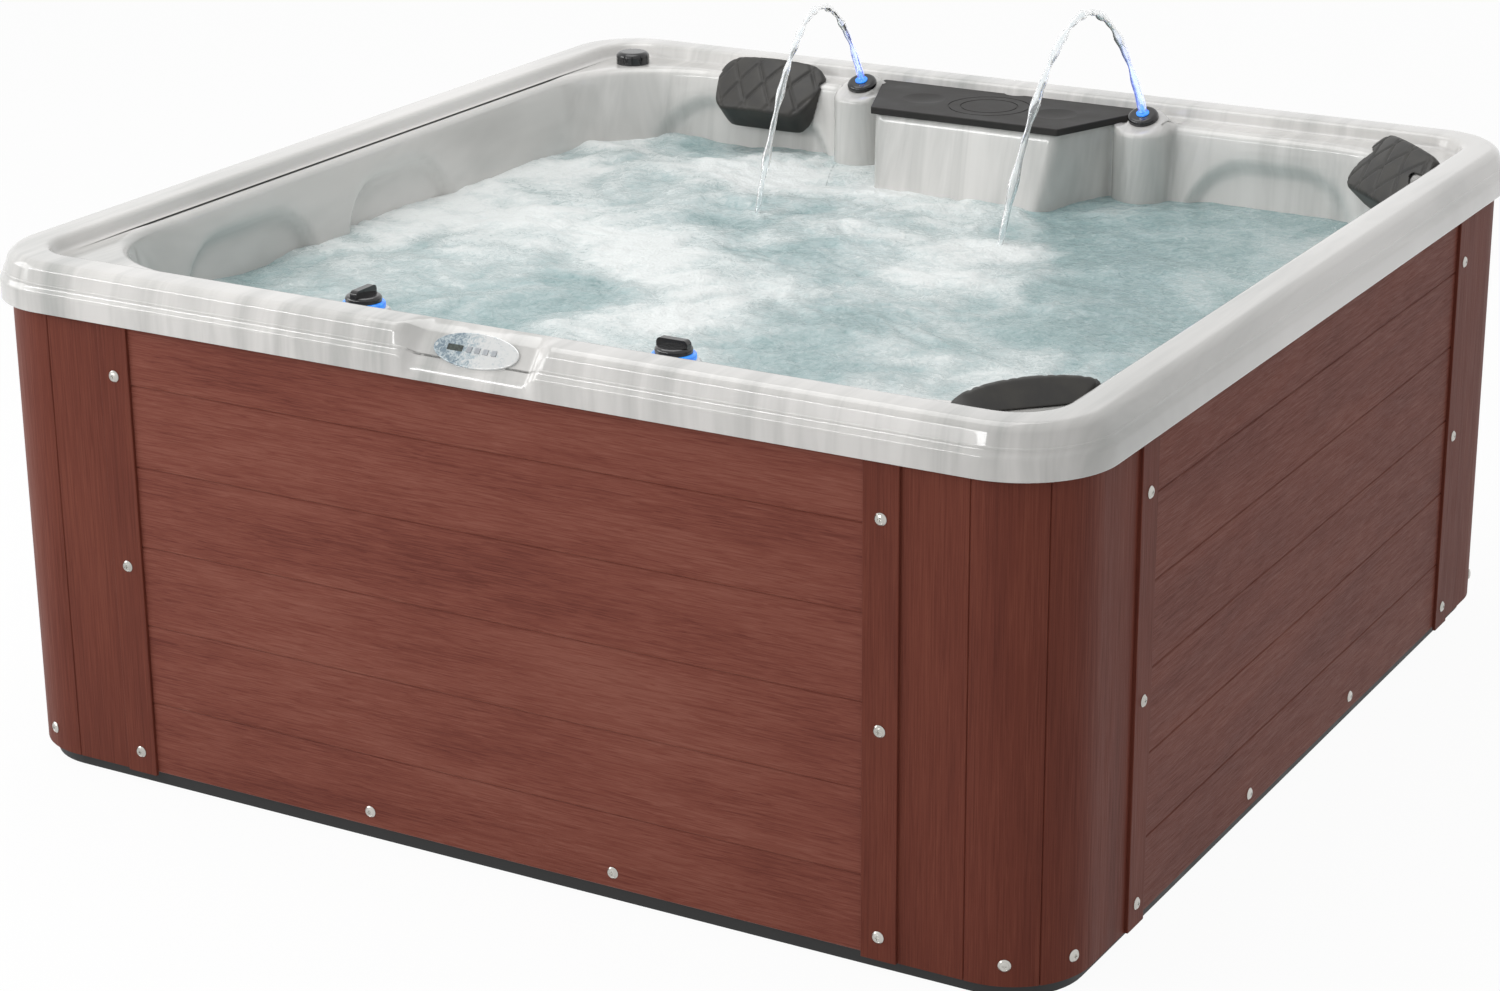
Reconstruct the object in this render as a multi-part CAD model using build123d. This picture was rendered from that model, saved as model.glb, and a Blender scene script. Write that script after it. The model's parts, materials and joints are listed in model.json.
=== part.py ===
from build123d import *
import math
import os

# A square acrylic hot tub in a boarded cabinet, in millimetres.
# Origin: on the floor, under the middle of the tub. +X is to the right as seen
# from the control side, +Y runs from the control side to the filter side, +Z is up.

# Acrylic shell: the lip that shows above the cabinet
lip_half = 1067.0
lip_corner = 165.0
lip_bottom = 865.0
lip_face_height = 40.0
rim_top = 950.0
rim_lean = 20.0
rim_width = 64.0
rim_inner_corner = 92.0
rim_inner_lean = 8.0
rim_edge_round = 7.0
deck_level = 924.0
shell_wall = 7.0

# Bathing well
well_half_width = 955.0
well_front = -908.0
well_back = 905.0
well_corner = 250.0
wall_lean = 8.5
bench_level = 390.0
footwell_half_width = 450.0
footwell_front = -450.0
footwell_back = 420.0
footwell_corner = 130.0
footwell_lean = 5.0
seat_scoop_depth = 45.0
seat_scoop_radius = 420.0
seat_places = [(-665, -420), (-665, 85), (-610, 625), (600, 625), (665, 40), (620, -625)]
seat_back_depth = 22.0
seat_back_top = 872.0
seat_back_corner = 140.0
seat_backs = [("left", -415, 420), ("left", 70, 380), ("back", -610, 440), ("back", 600, 380)]

# Filter compartment, moulded into the back wall of the well
housing_front_top = 722.0
housing_front_drop = 0.27
housing_half_top = 205.0
housing_narrowing = 0.12
housing_splay = 0.396
housing_round = 16.0
housing_back = 962.0
lid_thickness = 14.0
lid_back = 958.0
lid_seat_gap = 0.3
lid_gap = 0.5
lid_overlap = 6.0
lid_corner = 6.0
lid_edge_round = 2.0
lid_spigot = 12.0
lid_spigot_wall = 5.0
lid_notch_radius = 30.0
lid_notch_depth = 12.0
lid_dimple_radius = 45.0
lid_dimple_offset = 150.0
lid_dimple_depth = 4.0
lid_ring_radii = (60.0, 85.0)
ring_groove_width = 3.0
ring_groove_depth = 1.2
cartridge_radius = 62.0
cartridge_length = 330.0
cartridge_offset = 84.0
cartridge_centre_y = 838.0
cartridge_pleats = 36
cartridge_gap = 0.3
pleat_depth = 9.0
cap_overhang = 3.0
cap_thickness = 12.0
grip_radius = 22.0
grip_thickness = 8.0
filter_thread_radius = 24.0
filter_thread_wall = 5.0
filter_thread_length = 60.0
mount_plate_half = 140.0
mount_plate_reach = 75.0
mount_plate_thickness = 8.0
running_fit = 0.06
grille_width = 176.0
grille_height = 70.0
grille_level = 640.0
grille_thickness = 6.0
grille_bars = 9
grille_bar_share = 0.45
grille_border = 10.0

# Skirt boards, battens and screws
skirt_half = 1047.0
skirt_corner = 144.0
board_thickness = 12.0
board_bottom = 30.0
first_groove = 164.0
board_pitch = 148.0
board_count = 6
board_top = 880.0
board_bevel = 2.2
board_end_gap = 1.0
tongue_height = 5.0
tongue_thickness = 4.0
tongue_gap = 0.2
batten_centre = 744.5
batten_width = 63.0
batten_thickness = 6.0
batten_bottom = 25.0
batten_top = 876.0
batten_edge = 1.5
corner_seam = 892.0
seam_bevel = 2.0
screw_levels = (65.6, 420.5, 770.0)
low_screw_level = 58.0
low_screw_offset = 246.0
corner_screw_angles = (22.5, 70.0)
corner_screw_level = 62.0
screw_shank = 2.2
screw_clearance = 0.3
screw_length = 40.0
screw_point = 6.0
screw_head = 7.2
screw_dome = 1.6
cup_radius = 10.5
cup_height = 3.0
cup_mouth = 7.5
cup_hole = 4.9
cup_metal = 0.8

# Timber frame and base pan
timber = 38.0
timber_depth = 58.0
sill_height = 70.0
post_offsets = (-744.5, -246.0, 246.0, 744.5)
joist_offsets = (-300.0, 0.0, 300.0)
corner_post_reach = 128.0
rail_gap_half = 175.0
pan_half = 1030.0
pan_corner = 127.0
pan_floor = 6.0
pan_wall = 4.0
pan_height = 45.0
sill_clearance = 2.0

# Control panel in a slanting recess of the front lip
pod_half = 110.0
pod_side = 26.0
pod_rise = 20.0
pod_top_y = -1002.0
pod_top_z = 953.0
pod_bottom_y = -1061.0
pod_bottom_z = 884.0
panel_width = 164.0
panel_height = 62.0
panel_raise = 4.0
panel_edge_round = 2.0
panel_body_width = 118.0
panel_body_height = 34.0
panel_body_depth = 16.0
panel_fit = 0.3
button_size = 9.5
button_depth = 6.7
button_first = -13.0
button_pitch = 16.0
button_names = ("jets", "light", "warmer", "cooler")
button_round = 1.5
button_proud = 1.0
button_travel = 1.0
button_gap = 0.15
window_width = 30.0
window_height = 11.0
window_centre = -40.0
window_thickness = 1.6
circuit_margin = 4.0
circuit_thickness = 1.6

# Deck fittings
fit_gap = 0.4
lift_gap = 0.3
boss_radius = 47.0
diverter_offset = 303.0
diverter_y = -921.0
diverter_ring = 37.0
diverter_ring_height = 9.0
diverter_ring_round = 4.0
diverter_handle_radius = 31.0
diverter_handle_height = 11.0
diverter_handle_round = 6.0
fin_height = 12.0
fin_width = 13.0
fin_inset = 2.0
fin_round = 8.0
diverter_stem = 11.0
diverter_stem_length = 60.0
valve_radius = 34.0
valve_depth = 105.0
valve_port_radius = 16.0
valve_port_length = 24.0
air_x = -898.0
air_y = 898.0
air_radius = 36.0
air_height = 26.0
air_round = 11.0
air_stem = 9.0
air_stem_length = 40.0
air_body_radius = 26.0
air_body_depth = 60.0
air_port_length = 30.0
air_ribs = 12
air_rib_groove = 1.6
fountain_offset = 322.0
fountain_y = 888.0
fountain_boss = 60.0
fountain_tilt = 22.0
fountain_rise = 14.0
fountain_seat_border = 5.0
fountain_seat_depth = 28.0
fountain_ring_radius = 31.0
fountain_ring_height = 12.0
fountain_ring_round = 8.0
nozzle_radius = 13.0
nozzle_proud = 2.0
nozzle_length = 30.0
nozzle_orifice = 3.5
fountain_body_radius = 22.0
fountain_body_depth = 58.0

# Head pillows
pillow_top_width = 284.0
pillow_bottom_width = 210.0
pillow_height = 136.0
pillow_corner = 46.0
pillow_thickness = 36.0
pillow_back = 46.0
pillow_crown = 430.0
pillow_tilt = 45.0
pillow_edge = 8.0
pillow_gap = 0.4
pillow_border = 20.0
pillow_groove_depth = 3.0
pillow_groove_width = 3.6
pillow_groove_pitch = 62.0
pillow_groove_angle = 58.0
pillow_peg_radius = 6.0
pillow_peg_length = 30.0
pillow_peg_offset = 70.0
pillow_level = 896.0
back_pillow_x = -555.0
back_pillow_inset = 4.0
corner_pillow_inset = 6.0

# Jets below the waterline
large_jet = 46.0
large_jet_body = 38.0
large_jet_bore = 30.0
large_jet_face = 43.0
jet_face_thickness = 3.7
jet_spigot = 20.0
jet_eye_offset = 15.0
jet_eye_radius = 8.0
jet_dish_radius = 9.0
jet_dish_depth = 2.0
small_jet = 21.0
small_jet_body = 16.0
small_jet_bore = 11.0
small_jet_eye = 5.0
small_jet_depth = 15.0
jet_flange = 3.0
jet_body_depth = 52.0
jet_level = 660.0
jet_spread = 105.0
jet_rise = 62.0
suction_radius = 52.0
suction_body = 38.0
suction_depth = 50.0
suction_level = 235.0
suction_spacing = 300.0
suction_dome = 9.0
suction_hole = 6.0
suction_hole_circle = 28.0
suction_holes = 8
light_radius = 60.0
light_body = 46.0
light_depth = 45.0
light_wall = 4.0
light_level = 250.0
lens_height = 10.0
lens_round = 7.0

# Equipment inside the cabinet
pump_y = -745.0
volute_x = -330.0
volute_radius = 88.0
volute_width = 70.0
volute_wall = 8.0
volute_neck = 8.0
port_radius = 34.0
port_length = 50.0
motor_radius = 82.0
motor_length = 260.0
motor_end_wall = 30.0
motor_fins = 9
motor_fin_pitch = 22.0
motor_fin_gap = 10.0
motor_fin_depth = 4.0
motor_foot_half = 60.0
motor_foot_inset = 40.0
rotor_radius = 44.0
rotor_gap = 3.0
shaft_radius = 8.0
shaft_end_cover = 15.0
impeller_radius = 62.0
impeller_plate = 5.0
impeller_width = 22.0
vane_thickness = 4.0
impeller_vanes = 6
pipe_radius = 25.0
pipe_wall = 3.0
pressure_level = 350.0
pressure_drop_x = -150.0
pressure_bend = 40.0
heater_radius = 32.0
heater_wall = 2.0
heater_flange = 10.0
heater_flange_width = 16.0
heater_left = -15.0
heater_length = 350.0
heater_y = -830.0
heater_level = 215.0
element_radius = 5.0
element_inset = 70.0
element_bend = 18.0
box_left = -10.0
box_length = 330.0
box_front = -965.0
box_depth = 90.0
box_height = 220.0
box_edge = 12.0
saddle_width = 20.0
saddle_inset = 90.0
supply_radius = 16.0
supply_clearance = 11.0
supply_level = 340.0
supply_bend = 200.0
supply_start_x = 760.0
supply_corner_y = -640.0
supply_end_y = -560.0
riser_radius = 9.0
riser_wall = 2.5
cable_radius = 4.0
cable_bend = 60.0
drain_x = 200.0
drain_level = 110.0
drain_radius = 13.0
drain_wall = 3.0
drain_flange = 20.0
drain_flange_thickness = 4.0
drain_proud = 12.0
drain_cap_wall = 4.0
drain_cap_length = 15.0
gland_x = -185.0
gland_level = 110.0
gland_radius = 12.0
gland_nut = 18.0
gland_nut_thickness = 7.0
gland_bore = 6.0

# Sizes worked out from the ones above
rim_inner = lip_half - rim_lean - rim_width
deck_half = rim_inner - rim_inner_lean
deck_corner = rim_inner_corner - rim_inner_lean
deck_underside = deck_level - shell_wall
well_mid_y = (well_front + well_back) / 2
well_half_depth = (well_back - well_front) / 2
wall_slope = math.tan(math.radians(wall_lean))
footwell_slope = math.tan(math.radians(footwell_lean))
sill_top = pan_floor + sill_height
footwell_level = sill_top + shell_wall
pocket_floor = bench_level
sill_outer = pan_half - pan_wall - sill_clearance
rail_outer = skirt_half - board_thickness
rail_inner = rail_outer - timber
rail_top = rim_top - shell_wall
rail_bottom = rail_top - timber_depth
frame_turn = skirt_half - skirt_corner
lid_base = deck_level + lid_seat_gap
lid_top = lid_base + lid_thickness
far = 1200.0


def square(half, corner):
    return RectangleRounded(2 * half, 2 * half, corner)


def block(x0, x1, y0, y1, z0, z1):
    box = Box(x1 - x0, y1 - y0, z1 - z0)
    return Pos((x0 + x1) / 2, (y0 + y1) / 2, (z0 + z1) / 2) * box


def rod(radius, z0, z1, x=0.0, y=0.0):
    return Pos(x, y, (z0 + z1) / 2) * Cylinder(radius, z1 - z0)


def rod_on(plane, radius, z0, z1):
    """A rod that stands on a plane's own upward axis."""
    return plane * Pos(0, 0, (z0 + z1) / 2) * Cylinder(radius, z1 - z0)


def tube(radius, bore, z0, z1, x=0.0, y=0.0):
    return rod(radius, z0, z1, x, y) - rod(bore, z0 - 1, z1 + 1, x, y)


def slab(sketch, z0, z1):
    return extrude(Pos(0, 0, z0) * sketch, amount=z1 - z0)


def quarter_turns(shape):
    return [Rot(0, 0, 90 * turn) * shape for turn in range(4)]


def joined(pieces):
    total = pieces[0]
    for piece in pieces[1:]:
        total = total + piece
    return total


def top_edge(shape, plane):
    """The edge furthest up a plane's own axis."""
    return shape.edges().sort_by(lambda edge: plane.to_local_coords(edge.center()).Z)[-1]


def point_on(plane, x, y, z):
    return (plane.location * Pos(x, y, z)).position


def pipe(points, bends, radius):
    """A round bar along straight runs joined by tangent arcs."""
    line = FilletPolyline(*points, radius=bends)
    start = Plane(origin=line @ 0, z_dir=line % 0)
    return sweep(start * Circle(radius), path=line)


def write(name, *pieces):
    shape = pieces[0] if len(pieces) == 1 else Compound(children=list(pieces))
    export_step(shape, f"parts/{name}.step")


# Well
def well_sketch(grow, level):
    """The well's outline at a height: it narrows steadily on the way down."""
    inset = (deck_level - level) * wall_slope - grow
    outline = RectangleRounded(
        2 * (well_half_width - inset), 2 * (well_half_depth - inset), well_corner - inset
    )
    return Pos(0, well_mid_y, level) * outline


def footwell_sketch(grow, level):
    inset = (bench_level - level) * footwell_slope - grow
    middle = (footwell_front + footwell_back) / 2
    depth = footwell_back - footwell_front
    outline = RectangleRounded(2 * (footwell_half_width - inset), depth - 2 * inset, footwell_corner)
    return Pos(0, middle, level) * outline


def wall_plane(side, place, level):
    """A plane on a wall of the well: x runs along the wall, z into the well."""
    inset = (deck_level - level) * wall_slope
    lean = math.radians(wall_lean)
    if side == "left":
        origin = (-well_half_width + inset, place, level)
        return Plane(origin=origin, x_dir=(0, -1, 0), z_dir=(math.cos(lean), 0, math.sin(lean)))
    origin = (place, well_back - inset, level)
    return Plane(origin=origin, x_dir=(-1, 0, 0), z_dir=(0, -math.cos(lean), math.sin(lean)))


def seat_back(grow, side, place, width):
    """An arched recess in a sloping wall, for the back of one seat."""
    drop = seat_back_top - bench_level
    outline = RectangleRounded(width + 2 * grow, drop + 2 * grow, seat_back_corner)
    centre = wall_plane(side, place, seat_back_top) * Pos(0, -drop / 2, -seat_back_depth - grow)
    return extrude(centre * outline, amount=seat_back_depth + grow + shell_wall)


def well_space(grow):
    """The open space of the well, grown by a wall where asked."""
    upper = loft([well_sketch(grow, bench_level - grow), well_sketch(grow, deck_level + 1)], ruled=True)
    floor = footwell_sketch(grow, footwell_level - grow)
    lower = loft([floor, footwell_sketch(grow, bench_level + 1)], ruled=True)
    space = upper + lower
    below_bench = block(-far, far, -far, far, 0, bench_level + 1)
    rise = seat_scoop_radius - seat_scoop_depth
    for x, y in seat_places:
        ball = Pos(x, y, bench_level + rise) * Sphere(seat_scoop_radius + grow)
        space = space + (ball & below_bench)
    for side, place, width in seat_backs:
        space = space + seat_back(grow, side, place, width)
    return space


# Filter compartment
def housing_outline(level, shrink):
    """Plan of the filter housing at a height: narrower and further forward lower down."""
    drop = deck_level - level
    front = housing_front_top - drop * housing_front_drop + shrink
    half = housing_half_top - drop * housing_narrowing - shrink
    back = housing_back - shrink
    back_half = half + (back - front) * housing_splay
    points = [(-half, front), (half, front), (back_half, back), (-back_half, back)]
    return Pos(0, 0, level) * Polygon(*points, align=None)


def housing_block(bottom, top, shrink):
    body = loft([housing_outline(bottom, shrink), housing_outline(top, shrink)], ruled=True)
    uprights = body.edges().filter_by(lambda edge: abs(edge.tangent_at(0.5).Z) > 0.8)
    return fillet(uprights.sort_by(Axis.Y)[:2], max(housing_round - shrink, 4))


def grille_plane():
    lean = math.atan(housing_front_drop)
    drop = deck_level - grille_level
    origin = (0, housing_front_top - drop * housing_front_drop, grille_level)
    return Plane(origin=origin, x_dir=(1, 0, 0), z_dir=(0, -math.cos(lean), math.sin(lean)))


# Fittings' places on the shell
def bosses(shrink, bottom, top):
    """Upright round bosses that carry the deck fittings."""
    pieces = []
    for sign in (-1, 1):
        pieces.append(rod(boss_radius - shrink, bottom, top, sign * diverter_offset, diverter_y))
        pieces.append(rod(fountain_boss - shrink, bottom, top, sign * fountain_offset, fountain_y))
    return pieces


def fountain_plane(sign):
    """A seat that leans into the well at each fountain."""
    tilt = math.radians(fountain_tilt)
    origin = (sign * fountain_offset, fountain_y, deck_level + fountain_rise)
    return Plane(origin=origin, x_dir=(1, 0, 0), z_dir=(0, -math.sin(tilt), math.cos(tilt)))


def fountain_seats():
    radius = fountain_ring_radius + fountain_seat_border
    return [rod_on(fountain_plane(sign), radius, -fountain_seat_depth, 0) for sign in (-1, 1)]


def pod_plane():
    """The slanting face that carries the control panel."""
    run = pod_bottom_y - pod_top_y
    fall = pod_bottom_z - pod_top_z
    middle = (0, (pod_top_y + pod_bottom_y) / 2, (pod_top_z + pod_bottom_z) / 2)
    return Plane(origin=middle, x_dir=(1, 0, 0), z_dir=(0, fall, -run))


def pod_cutter(grow):
    """The recess for the control panel, with sloping ends."""
    plane = pod_plane()
    length = math.hypot(pod_bottom_y - pod_top_y, pod_bottom_z - pod_top_z)
    height = 3 * pod_rise
    floor = Rectangle(2 * (pod_half + grow), length + 2 * grow)
    mouth = Rectangle(2 * (pod_half + 3 * pod_side + grow), length + 2 * (grow + pod_side))
    return loft([plane * Pos(0, 0, -grow) * floor, plane * Pos(0, 0, height) * mouth], ruled=True)


def jet_plane(side, place):
    """The floor of a seat-back recess, at the middle of its jets."""
    return wall_plane(side, place, jet_level) * Pos(0, 0, -seat_back_depth)


def small_jet_planes(seat):
    return [seat * Pos(sx * jet_spread, sy * jet_rise, 0) for sx in (-1, 1) for sy in (-1, 1)]


def footwell_plane(side, place, level):
    inset = (bench_level - level) * footwell_slope
    lean = math.radians(footwell_lean)
    if side == "front":
        origin = (place, footwell_front + inset, level)
        return Plane(origin=origin, x_dir=(-1, 0, 0), z_dir=(0, math.cos(lean), math.sin(lean)))
    origin = (place, footwell_back - inset, level)
    return Plane(origin=origin, x_dir=(1, 0, 0), z_dir=(0, -math.cos(lean), math.sin(lean)))


def suction_plane(sign):
    return footwell_plane("front", sign * suction_spacing / 2, suction_level)


light_plane = footwell_plane("back", 0, light_level)
drain_line = Plane(origin=(drain_x, 0, drain_level), x_dir=(1, 0, 0), z_dir=(0, 1, 0))
gland_line = Plane(origin=(gland_x, 0, gland_level), x_dir=(1, 0, 0), z_dir=(0, 1, 0))


def shell_cuts():
    """Every hole that a fitting needs through the shell."""
    depth = 2 * seat_back_depth
    holes = []
    for sign in (-1, 1):
        x = sign * diverter_offset
        holes.append(rod(valve_radius + fit_gap, deck_level - valve_depth, deck_level + 1, x, diverter_y))
        holes.append(rod_on(fountain_plane(sign), fountain_body_radius + fit_gap, -fountain_body_depth, 1))
        holes.append(rod_on(suction_plane(sign), suction_body + fit_gap, -depth, depth))
    holes.append(rod(air_body_radius + fit_gap, deck_level - air_body_depth, deck_level + 1, air_x, air_y))
    for side, place, width in seat_backs:
        seat = jet_plane(side, place)
        holes.append(rod_on(seat, large_jet_body + fit_gap, -depth, depth))
        for small in small_jet_planes(seat):
            holes.append(rod_on(small, small_jet_body + fit_gap, -depth, depth))
    holes.append(rod_on(light_plane, light_body + fit_gap, -depth, depth))
    holes.append(rod_on(drain_line, drain_radius + fit_gap, footwell_back / 2, footwell_back + depth))
    holes.append(grille_plane() * Box(grille_width, grille_height, 2 * depth))
    panel_hole = Box(panel_body_width + 2 * panel_fit, panel_body_height + 2 * panel_fit, depth)
    holes.append(pod_plane() * panel_hole)
    for plane in pillow_planes.values():
        holes += pillow_pegs(plane, pillow_peg_radius + pillow_gap, pillow_peg_length + pillow_gap)
    return holes


# Shell
def rim():
    """The lip, its bevel and the deck inside it, as a thin moulded skin."""
    face_top = lip_bottom + lip_face_height
    bevel_bottom = Pos(0, 0, face_top) * square(lip_half, lip_corner)
    bevel_top = Pos(0, 0, rim_top) * square(lip_half - rim_lean, lip_corner - rim_lean)
    outer = slab(square(lip_half, lip_corner), lip_bottom, face_top)
    outer = outer + loft([bevel_bottom, bevel_top], ruled=True)
    crest = outer.edges().filter_by_position(Axis.Z, rim_top - 0.1, rim_top + 0.1)
    outer = fillet(crest, rim_edge_round)
    recess_floor = Pos(0, 0, deck_level) * square(deck_half, deck_corner)
    recess_mouth = Pos(0, 0, rim_top + 1) * square(rim_inner, rim_inner_corner)
    outer = outer - loft([recess_floor, recess_mouth], ruled=True) - pod_cutter(0)
    skirt_inside = square(lip_half - shell_wall, lip_corner - shell_wall)
    crown_outer = lip_half - rim_lean - shell_wall
    crown = slab(square(crown_outer, lip_corner - rim_lean - shell_wall), lip_bottom, rail_top)
    crown = crown - slab(square(rim_inner + shell_wall, rim_inner_corner + shell_wall), lip_bottom, rim_top)
    hollow = slab(skirt_inside, lip_bottom - 1, deck_underside) + crown
    return outer - (hollow - pod_cutter(shell_wall))


def tub_shell():
    inner = well_space(0)
    body = rim() + (well_space(shell_wall) & block(-far, far, -far, far, 0, deck_level))
    body = body - inner
    body = body + housing_block(bench_level - shell_wall, deck_level, 0)
    for post in bosses(0, bench_level, deck_level):
        body = body + (post & inner)
    for seat in fountain_seats():
        body = body + seat
    body = body - housing_block(pocket_floor, deck_level + 1, shell_wall)
    for core in bosses(shell_wall, bench_level, deck_underside):
        body = body - core
    for hole in shell_cuts():
        body = body - hole
    return body


# Skirt
def board_outline(bottom, top, has_groove, has_tongue):
    """Section of one board: bevelled show edges, a tongue above, a groove below."""
    outer = -skirt_half
    inner = outer + board_thickness
    middle = (outer + inner) / 2
    half_tongue = tongue_thickness / 2
    half_slot = half_tongue + tongue_gap
    slot_top = bottom + tongue_height + tongue_gap
    points = [(inner, bottom)]
    if has_groove:
        points += [(middle + half_slot, bottom), (middle + half_slot, slot_top)]
        points += [(middle - half_slot, slot_top), (middle - half_slot, bottom)]
    points += [(outer + board_bevel, bottom), (outer, bottom + board_bevel)]
    points += [(outer, top - board_bevel), (outer + board_bevel, top)]
    if has_tongue:
        points += [(middle - half_tongue, top), (middle - half_tongue, top + tongue_height)]
        points += [(middle + half_tongue, top + tongue_height), (middle + half_tongue, top)]
    points += [(inner, top)]
    return Plane.YZ * Polygon(*points, align=None)


def front_boards():
    seams = [first_groove + board_pitch * seam for seam in range(board_count - 1)]
    levels = [board_bottom] + seams + [board_top]
    boards = []
    for index in range(board_count):
        outline = board_outline(levels[index], levels[index + 1], index > 0, index < board_count - 1)
        boards.append(extrude(outline, amount=batten_centre - board_end_gap, both=True))
    return boards


def batten_pair():
    """Two flat cover strips over the ends of the boards on one side."""
    strips = []
    for sign in (-1, 1):
        left = sign * batten_centre - batten_width / 2
        outer = -skirt_half - batten_thickness
        strip = block(left, left + batten_width, outer, -skirt_half, batten_bottom, batten_top)
        uprights = strip.edges().filter_by(Axis.Z).sort_by(Axis.Y)[:2]
        strips.append(fillet(uprights, batten_edge))
    return strips


def corner_boards():
    """Front right corner: one flat board and two curved ones that meet on the diagonal."""
    turn = frame_turn
    start = batten_centre + board_end_gap
    flat_region = Polygon(
        (start, -far), (corner_seam, -far), (corner_seam, -turn), (start, -turn), align=None
    )
    first_region = Polygon((corner_seam, -far), (far, -far), (turn, -turn), (corner_seam, -turn), align=None)
    second_region = Polygon((turn, -turn), (far, -far), (far, -start), (turn, -start), align=None)
    ring = square(skirt_half, skirt_corner) - square(rail_outer, skirt_corner - board_thickness)
    notch = Polygon((0, seam_bevel), (-seam_bevel, -0.5), (seam_bevel, -0.5), align=None)
    edge = skirt_corner / math.sqrt(2)
    seam_notch = slab(Pos(corner_seam, -skirt_half, 0) * notch, 0, board_top + 1)
    diagonal_notch = slab(Pos(turn + edge, -turn - edge, 0) * Rot(0, 0, 45) * notch, 0, board_top + 1)
    boards = []
    for region in (flat_region, first_region, second_region):
        board = slab(ring & region, batten_bottom, board_top)
        boards.append(board - seam_notch - diagonal_notch)
    return boards


def four_corners(pieces):
    """One corner's pieces mirrored to the other three."""
    left = [mirror(piece, about=Plane.YZ) for piece in pieces]
    back = [mirror(piece, about=Plane.XZ) for piece in pieces]
    back_left = [mirror(piece, about=Plane.XZ) for piece in left]
    return {"front_right": pieces, "front_left": left, "back_right": back, "back_left": back_left}


def front_screw_places():
    """Where the screws meet the front: the faces of its battens and of its lowest board."""
    places = []
    for sign in (-1, 1):
        for level in screw_levels:
            places.append((sign * batten_centre, -skirt_half - batten_thickness, level))
        places.append((sign * low_screw_offset, -skirt_half, low_screw_level))
    return places


def screw_planes():
    planes = []
    for x, y, level in front_screw_places():
        front = Plane(origin=(x, y, level), x_dir=(0, 0, 1), z_dir=(0, -1, 0))
        planes += [turned(front, quarters) for quarters in range(4)]
    for sx in (-1, 1):
        for sy in (-1, 1):
            for degrees in corner_screw_angles:
                nx = sx * math.sin(math.radians(degrees))
                ny = sy * math.cos(math.radians(degrees))
                x = sx * frame_turn + skirt_corner * nx
                y = sy * frame_turn + skirt_corner * ny
                planes.append(Plane(origin=(x, y, corner_screw_level), x_dir=(0, 0, 1), z_dir=(nx, ny, 0)))
    return planes


def turned(plane, quarters):
    """A plane carried round the middle of the tub by quarter turns."""
    return Plane(Rot(0, 0, 90 * quarters) * plane.location)


def cup_slope(radius):
    """Height of the cup washer's dished face at a radius."""
    return cup_metal + (cup_height - cup_metal) * (radius - cup_hole) / (cup_mouth - cup_hole)


def screw():
    """Oval-head wood screw with a cross recess; z = 0 is the face it is driven into."""
    head_edge = cup_slope(screw_head)
    top = head_edge + screw_dome
    points = [(0, -screw_length), (screw_shank, -screw_length + screw_point), (screw_shank, 0)]
    points += [(cup_hole, cup_metal), (screw_head, head_edge), (screw_head * 0.6, top - 0.3), (0, top)]
    body = revolve(Plane.XZ * Polygon(*points, align=None), axis=Axis.Z)
    for angle in (0, 90):
        body = body - Pos(0, 0, top) * Rot(0, 0, angle) * Box(screw_head, screw_head / 5, screw_dome * 2)
    return body


def cup_washer():
    points = [(cup_hole, 0), (cup_radius, 0), (cup_radius, cup_metal), (cup_mouth + cup_metal, cup_height)]
    points += [(cup_mouth, cup_height), (cup_hole, cup_metal)]
    return revolve(Plane.XZ * Polygon(*points, align=None), axis=Axis.Z)


def drilled(pieces, planes, radius):
    """Screw holes through a set of pieces, cut only where a screw is near."""
    drills = [rod_on(plane, radius, -screw_length - 2, batten_thickness) for plane in planes]
    boxes = [drill.bounding_box() for drill in drills]
    result = []
    for piece in pieces:
        own = piece.bounding_box()
        for drill, box in zip(drills, boxes):
            meets_x = box.min.X < own.max.X and box.max.X > own.min.X
            meets_y = box.min.Y < own.max.Y and box.max.Y > own.min.Y
            meets_z = box.min.Z < own.max.Z and box.max.Z > own.min.Z
            if meets_x and meets_y and meets_z:
                piece = piece - drill
        result.append(piece)
    return result


# Frame and base
def corner_arc(outer, thickness, bottom, top):
    """A quarter ring of timber at the front right corner."""
    ring = tube(outer, outer - thickness, bottom, top, frame_turn, -frame_turn)
    return ring & block(frame_turn, far, -far, -frame_turn, bottom, top)


def bottom_frame():
    sill = block(-frame_turn, frame_turn, -sill_outer, -sill_outer + timber, pan_floor, sill_top)
    pieces = quarter_turns(sill)
    pieces += quarter_turns(corner_arc(sill_outer - frame_turn, timber, pan_floor, sill_top))
    reach = sill_outer - timber
    for x in joist_offsets:
        pieces.append(block(x - timber / 2, x + timber / 2, -reach, reach, pan_floor, sill_top))
    return pieces


def upper_frame():
    """Posts that stand on the sills, and the rails on top of them that carry the lip."""
    pieces = []
    half = timber_depth / 2
    for x in post_offsets:
        post = block(x - half, x + half, -rail_outer, -rail_inner, sill_top, rail_bottom)
        pieces += quarter_turns(post)
    corner_post = block(corner_post_reach - timber, corner_post_reach, -half, half, sill_top, rail_bottom)
    pieces += quarter_turns(Pos(frame_turn, -frame_turn, 0) * Rot(0, 0, -45) * corner_post)
    rail = block(-frame_turn, frame_turn, -rail_outer, -rail_inner, rail_bottom, rail_top)
    pieces += quarter_turns(rail)[1:]
    for sign in (-1, 1):
        ends = sorted((sign * rail_gap_half, sign * frame_turn))
        pieces.append(block(ends[0], ends[1], -rail_outer, -rail_inner, rail_bottom, rail_top))
    pieces += quarter_turns(corner_arc(rail_outer - frame_turn, timber, rail_bottom, rail_top))
    return pieces


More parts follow.
